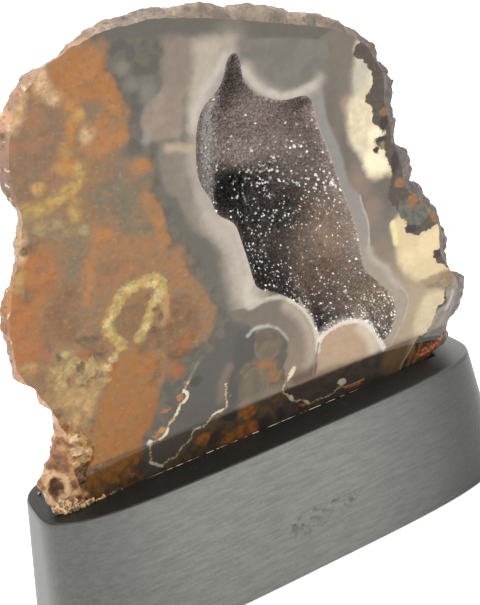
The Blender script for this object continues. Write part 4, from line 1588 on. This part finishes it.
def make_crystals(material, chance):
    radii = np.concatenate([chance.uniform(*CRYSTAL_RADIUS, len(wall_places)),
                            chance.uniform(*FRINGE_RADIUS, len(fringe_places))])
    places = np.vstack([wall_places, fringe_places])
    facing = np.vstack([wall_facing, fringe_facing])
    often = np.interp(places[:, 1], (FINE_BELOW, FEW_ABOVE), OFTEN_ELSEWHERE)
    often = often * np.where(within(places, QUIET), QUIET_SHARE, 1.0)
    often = np.where(within(places, SPARKLING), OFTEN_IN_SPARKLING, often)
    often = np.where(within(places, FROSTED), OFTEN_IN_FROST, often)
    sparkle = chance.random(len(places)) < often
    dots = (chance.random(len(places)) < DOT_SHARE) & within(places, PALE_DOTS)
    fine = sparkle & (places[:, 1] < FINE_BELOW)
    radii[fine] *= chance.uniform(*FINE_SIZES, fine.sum())
    corners, faces = crystal_points(places, facing, radii, chance)
    mesh = bpy.data.meshes.new("quartz_crystals")
    mesh.from_pydata(corners.tolist(), [], faces)
    store(mesh, "crystal_tone", np.repeat(chance.random(len(places)), CRYSTAL_CORNERS))
    for name, values in zone_shares(places + chance.normal(0.0, ZONE_BLUR, places.shape)):
        store(mesh, name, np.repeat(values, CRYSTAL_CORNERS))
    for name, chosen, reach in (("sparkle", sparkle, SPARKLE_STRENGTHS), ("pale_dot", dots, DOT_STRENGTHS)):
        store(mesh, name, np.repeat(chosen * chance.uniform(*reach, len(places)), CRYSTAL_CORNERS))
    return stand(mesh, "quartz_crystals", (material,))


crystals = make_crystals(smoky_quartz, crystal_chance)
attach(crystals, "root")
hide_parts("agate_geode")
print("crystals of", len(crystals.data.polygons), "faces")

# %% [markdown]
# Crumbs broken from the left end lie on the wood in a few heaps. Each is a small ball with its corners
# pushed in and out. They have a dusty finish of their own, because a crumb is too small to show what the
# rough skin's would.

# %% Crumbs
CRUMB_HEAPS = [
    {"count": 34, "at": (-53.4, 0.4), "spread": (1.1, 3.0), "radius": (0.8, 1.8)},
    {"count": 70, "at": (-50.2, -1.2), "spread": (1.9, 2.6), "radius": (0.16, 0.7)},
    {"count": 60, "at": (-53.4, 1.0), "spread": (1.2, 4.0), "radius": (0.16, 0.6)},
    {"count": 50, "at": (-46.0, -0.9), "spread": (2.8, 0.3), "radius": (0.1, 0.26)},
]
DUST_COLOURS = ((104, 88, 70), (206, 164, 118))
CRUMB_SINK, CRUMB_LUMPS = 0.7, 0.8


def make_crumb_dust():
    finish = Finish("crumb_dust")
    colour = finish.mix(finish.fade(finish.noise(0.9), 0.42, 0.58), *map(in_light, DUST_COLOURS))
    return finish.finish(colour, 0.8, finish.bump(finish.noise(0.3), 0.2))


def make_crumbs():
    chance = np.random.default_rng(5)
    mesh_maker = bmesh.new()
    to_face = FACE.inverted()
    for heap in (heap for heap in CRUMB_HEAPS for _ in range(heap["count"])):
        radius = chance.uniform(*heap["radius"])
        left = heap["at"][0] + chance.normal(0, heap["spread"][0])
        back = heap["at"][1] + abs(chance.normal(0, heap["spread"][1]))
        place = Vector((left, back + face_y / MM, 0)) * MM
        place.z = wood_top + CRUMB_SINK * radius * MM
        centre = to_face @ place / MM
        made = bmesh.ops.create_icosphere(mesh_maker, subdivisions=2, radius=radius)["verts"]
        for vertex in made:
            lump = 1.0 + CRUMB_LUMPS * noise.noise(vertex.co / radius * 1.3 + centre * 3)
            vertex.co = vertex.co * lump + centre
    return stand(mesh_of(mesh_maker, "crumbs"), "crumbs", (make_crumb_dust(),))


crumbs = make_crumbs()
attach(crumbs, "root")
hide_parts("agate_geode")
print("crumbs of", len(crumbs.data.polygons), "faces")

# %% [markdown]
# The base is an oval block whose sides lean out towards the foot. The solid has few sides, so its outline
# is worked out again with many more, as an oval with nearly square corners. A profile with rounded edges
# says how far out each ring of it stands.

# %% Outline and profile of the base
FLARE = 5.0
LENGTH_EXPONENT, DEPTH_EXPONENT = 4.0, 3.8
EDGE_ROUNDING = 0.7
ROUNDING_STEPS = 5
BASE_SIDES = 800
FINE_STEPS = 40
WALL_ROWS = 90
base_high = wood_top / MM
half_length, half_depth = wood_high.x / MM - FLARE, wood_high.y / MM - FLARE


def oval(length, depth, height):
    """A ring of corners, evenly spaced along an oval with nearly square corners."""
    angles = np.linspace(0, 2 * math.pi, FINE_STEPS * BASE_SIDES + 1)
    cosine, sine = np.cos(angles), np.sin(angles)
    outline = np.column_stack([length * np.sign(cosine) * np.abs(cosine) ** (2 / LENGTH_EXPONENT),
                               depth * np.sign(sine) * np.abs(sine) ** (2 / DEPTH_EXPONENT)])
    along = np.append(0.0, np.cumsum(np.linalg.norm(np.diff(outline, axis=0), axis=1)))
    stops = np.linspace(0, along[-1], BASE_SIDES, endpoint=False)
    return np.column_stack([np.interp(stops, along, outline[:, 0]), np.interp(stops, along, outline[:, 1]),
                            np.full(BASE_SIDES, height)])


def wall_profile():
    """How far the wall stands out from the top edge, and its height, from the top round to the underside."""
    turns = np.linspace(0, math.pi / 2, ROUNDING_STEPS)
    top = [(EDGE_ROUNDING * (math.sin(turn) - 1), base_high - EDGE_ROUNDING * (1 - math.cos(turn)))
           for turn in turns]
    heights = np.linspace(base_high - EDGE_ROUNDING, EDGE_ROUNDING, WALL_ROWS)[1:]
    wall = [(FLARE * (1 - height / base_high), height) for height in heights]
    foot = [(FLARE - EDGE_ROUNDING * (1 - math.cos(turn)), EDGE_ROUNDING * (1 - math.sin(turn)))
            for turn in turns[1:]]
    return top + wall + foot


print("the base's wall has", len(wall_profile()), "rings of", BASE_SIDES, "corners")

# %% [markdown]
# A tool slipped on the front of the block and left a short row of dents. They follow a drawn line, and
# noises of several sizes make their edge and their depth ragged.

# %% Dents in the front
DENTS = [(-5.0, 11.4), (-1.4, 12.8), (2.4, 13.6), (6.8, 14.1), (11.0, 13.4)]
DENT_HEIGHT = 0.85
DENT_REACH = (3.0, 0.6)
DENT_RAGGED, RAGGED_SIZE = 3.0, 2.4
RIDGE_SIZE, LUMPS = 2.6, ((0.8, 1.3), (0.4, 0.7))


def dented(corners):
    front = np.flatnonzero(corners[:, 1] < -half_depth + 1.0)
    reach = distance_to(corners[front][:, [0, 2]], drawn(DENTS, closed=False), closed=False)
    for i, away in zip(front, reach):
        place = Vector(corners[i])
        ragged = away + DENT_RAGGED * noise.noise(place / RAGGED_SIZE)
        lump = 0.5 - 2.0 * abs(noise.noise(place / RIDGE_SIZE))
        for height, size in LUMPS:
            lump += height * noise.noise(place / size)
        corners[i, 1] -= DENT_HEIGHT * lump * eased(ragged, *DENT_REACH)
    return corners


wall_rings = [oval(half_length + out, half_depth + out, height) for out, height in wall_profile()]
wall_corners = dented(np.vstack(wall_rings))
print("the wall's", len(wall_corners), "corners are dented along", len(DENTS), "points")

# %% [markdown]
# Neighbouring rings are joined by faces down the wall, one many-sided face closes the underside, and the
# top is filled with triangles round the mouth of the groove. The groove leans back as the stone does, so
# that the stone's foot fits it.

# %% Base block
GROOVE = {"left": -51.0, "right": 50.2, "back": 17.6, "depth": 7.2}
GROOVE_FRONT_GAP = 0.35
groove_front = face_y / MM - GROOVE_FRONT_GAP


def wall_faces(rows):
    """The faces between the rings, and the underside."""
    faces = []
    for row in range(rows - 1):
        upper, lower = row * BASE_SIDES, (row + 1) * BASE_SIDES
        faces += [(upper + j, upper + i, lower + i, lower + j) for i, j in closed_ring(BASE_SIDES)]
    last = (rows - 1) * BASE_SIDES
    return faces + [tuple(last + i for i in reversed(range(BASE_SIDES)))]


def top_with_groove(outline, first):
    """The top round the groove's mouth, and the groove's corners, which count on from the first number."""
    groove_back = face_y / MM + GROOVE["back"]
    slot = np.array([(GROOVE["left"], groove_front), (GROOVE["right"], groove_front),
                     (GROOVE["right"], groove_back), (GROOVE["left"], groove_back)])
    rim = closed_ring(BASE_SIDES) + closed_ring(4, BASE_SIDES)
    points = [Vector(point) for point in np.vstack([outline, slot])]
    found, _, top_faces, *_ = geometry.delaunay_2d_cdt(points, rim, [], 1, SAME_PLACE)
    centres = np.array([np.mean([found[i] for i in face], axis=0) for face in top_faces])
    lean = math.tan(math.asin(-outward.z)) * GROOVE["depth"]
    corners = [np.column_stack([slot, np.full(4, base_high)]),
               np.column_stack([slot + (0, lean), np.full(4, base_high - GROOVE["depth"])])]
    numbers = [*range(BASE_SIDES), *range(first, first + 4)]
    faces = [tuple(numbers[i] for i in face)
             for face, hole in zip(top_faces, inside_of(centres, slot)) if not hole]
    faces += [(first + i, first + 4 + i, first + 4 + j, first + j) for i, j in closed_ring(4)]
    return corners, faces + [tuple(range(first + 4, first + 8))]


def make_base_mesh():
    corners, faces = top_with_groove(wall_rings[0][:, :2], len(wall_corners))
    mesh = bpy.data.meshes.new("wooden_base_block")
    mesh.from_pydata(np.vstack([wall_corners, *corners]).tolist(), [], wall_faces(len(wall_rings)) + faces)
    mesh_maker = bmesh.new()
    mesh_maker.from_mesh(mesh)
    bmesh.ops.recalc_face_normals(mesh_maker, faces=mesh_maker.faces[:])
    mesh_maker.to_mesh(mesh)
    mesh_maker.free()
    return mesh


base_mesh = make_base_mesh()
print("base of", len(base_mesh.polygons), "faces")

# %% [markdown]
# Black paint on wood is dark grey where light grazes it, and the grain shows through as fine streaks, so
# the noises are stretched along x. Paler specks are dust, and the ends, which face away from the softboxes,
# are darker.

# %% Painted wall
WALL_TONES_BLACK = ((88, 88, 84), (100, 100, 96))
FINE_TONES, BROAD_TONES = (0.68, 1.32), (0.94, 1.06)
DUST_ON_WALL = (150, 150, 146)
WORN_ENDS = ((8.0, 48.0, 0.6), (34.0, 54.0, 0.7), (-26.0, -62.0, 0.52))
BLACK = (0.006, 0.006, 0.006)


def as_seen(seen):
    return in_light(seen, 1.0)


def painted_wall(finish, grain, fine):
    broad = finish.noise(9.0, stretch=(0.3, 1.0, 1.0), shift=14.0)
    wall = finish.mix(finish.fade(grain, 0.3, 0.7), *map(as_seen, WALL_TONES_BLACK))
    wall = scaled(finish, wall, fine, *FINE_TONES)
    wall = scaled(finish, wall, broad, *BROAD_TONES)
    specks = finish.fade(finish.noise(0.35, detail=2.0, shift=8.0), 0.74, 0.8)
    wall = finish.mix(specks, wall, as_seen(DUST_ON_WALL))
    for start, end, share in WORN_ENDS:
        wall = finish.mix(finish.times(finish.fade(finish.part("X"), start, end), share), wall, BLACK)
    return wall


print("the wall is darkened in", len(WORN_ENDS), "steps along the block")

# %% [markdown]
# The top is a deeper black with dust on it. Along the front of the groove the paint is worn to bright wood
# in a thin broken line, and the right end is rubbed grey. The groove has the colour of the top.

# %% Painted top
TOP_TONES = ((20, 20, 18), (34, 34, 31))
DUST_ON_TOP, BARE_WOOD, RUBBED = (120, 118, 108), (196, 184, 160), (112, 112, 110)
TOP_FROM = (0.5, 0.1)
WORN_LINE, WORN_WIDTH = 0.12, (0.2, 0.08)
WORN_LEFT, WORN_RIGHT = (-36.0, -24.0), (30.0, 12.0)
RUBBED_FROM, RUBBED_SHARE = (44.0, 58.0), 0.7


def painted_top(finish):
    top = finish.mix(finish.noise(0.5, detail=4.0, shift=21.0), *map(as_seen, TOP_TONES))
    dust = finish.fade(finish.noise(0.4, detail=2.0, shift=33.0), 0.7, 0.76)
    top = finish.mix(dust, top, as_seen(DUST_ON_TOP))
    from_line = finish.math("ABSOLUTE", finish.math("SUBTRACT", finish.part("Y"), groove_front - WORN_LINE))
    worn = finish.times(finish.fade(from_line, *WORN_WIDTH),
                        finish.fade(finish.noise(2.4, shift=37.0), 0.44, 0.56),
                        finish.fade(finish.part("X"), *WORN_LEFT), finish.fade(finish.part("X"), *WORN_RIGHT))
    top = finish.mix(worn, top, as_seen(BARE_WOOD))
    rubbed = finish.times(finish.fade(finish.part("X"), *RUBBED_FROM), RUBBED_SHARE)
    return finish.mix(rubbed, top, as_seen(RUBBED))


def make_black_wood():
    finish = Finish("black_wood")
    grain = finish.noise(0.8, detail=4.0, stretch=(0.14, 1.0, 1.0))
    fine = finish.noise(0.5, detail=4.0, stretch=(0.6, 1.0, 1.0), shift=4.0, rough=0.75)
    on_top = finish.fade(finish.part("Z"), *(base_high - below for below in TOP_FROM))
    in_groove = finish.times(finish.fade(finish.part("Y"), groove_front - 1.2, groove_front - 0.6),
                             finish.fade(finish.math("ABSOLUTE", finish.part("X")), 56.0, 55.0))
    colour = finish.mix(finish.math("MAXIMUM", on_top, in_groove), painted_wall(finish, grain, fine),
                        painted_top(finish))
    roughness = finish.math("MULTIPLY_ADD", on_top, -0.2, 0.42)
    normal = finish.bump(grain, 0.06)
    normal = finish.bump(fine, 0.09, under=normal)
    normal = finish.bump(finish.noise(0.25, detail=2.0), 0.03, under=normal)
    return finish.finish(colour, roughness, normal, Specular_IOR_Level=0.3, IOR=1.5)


black_wood = make_black_wood()
print("black wood has", len(black_wood.node_tree.nodes), "nodes")

# %% [markdown]
# Smooth shading rounds the many small faces of the wall, and edges sharper than an angle stay crisp. The
# block is made in millimetres round the middle of the wood, so scaling it is enough.

# %% Put the base in place
SHARP_FROM = math.radians(40)

base_mesh.shade_smooth()
base_mesh.set_sharp_from_angle(angle=SHARP_FROM)
base_mesh.transform(Matrix.Scale(MM, 4))
base = link(bpy.data.objects.new("wooden_base_block", base_mesh))
base_mesh.materials.append(black_wood)
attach(base, "root")
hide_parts("wooden_base")
print("base shown from", [round(part, 4) for part in base.bound_box[0]])

# %% [markdown]
# The last cell writes down the box of the plain solids and the box of what is shown, so that the two can be
# compared, and closes the scene.

# %% Close the scene
bpy.context.view_layer.update()
shown_box = [list(corner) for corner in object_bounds()]
print("shown from", shown_box[0], "to", shown_box[1])
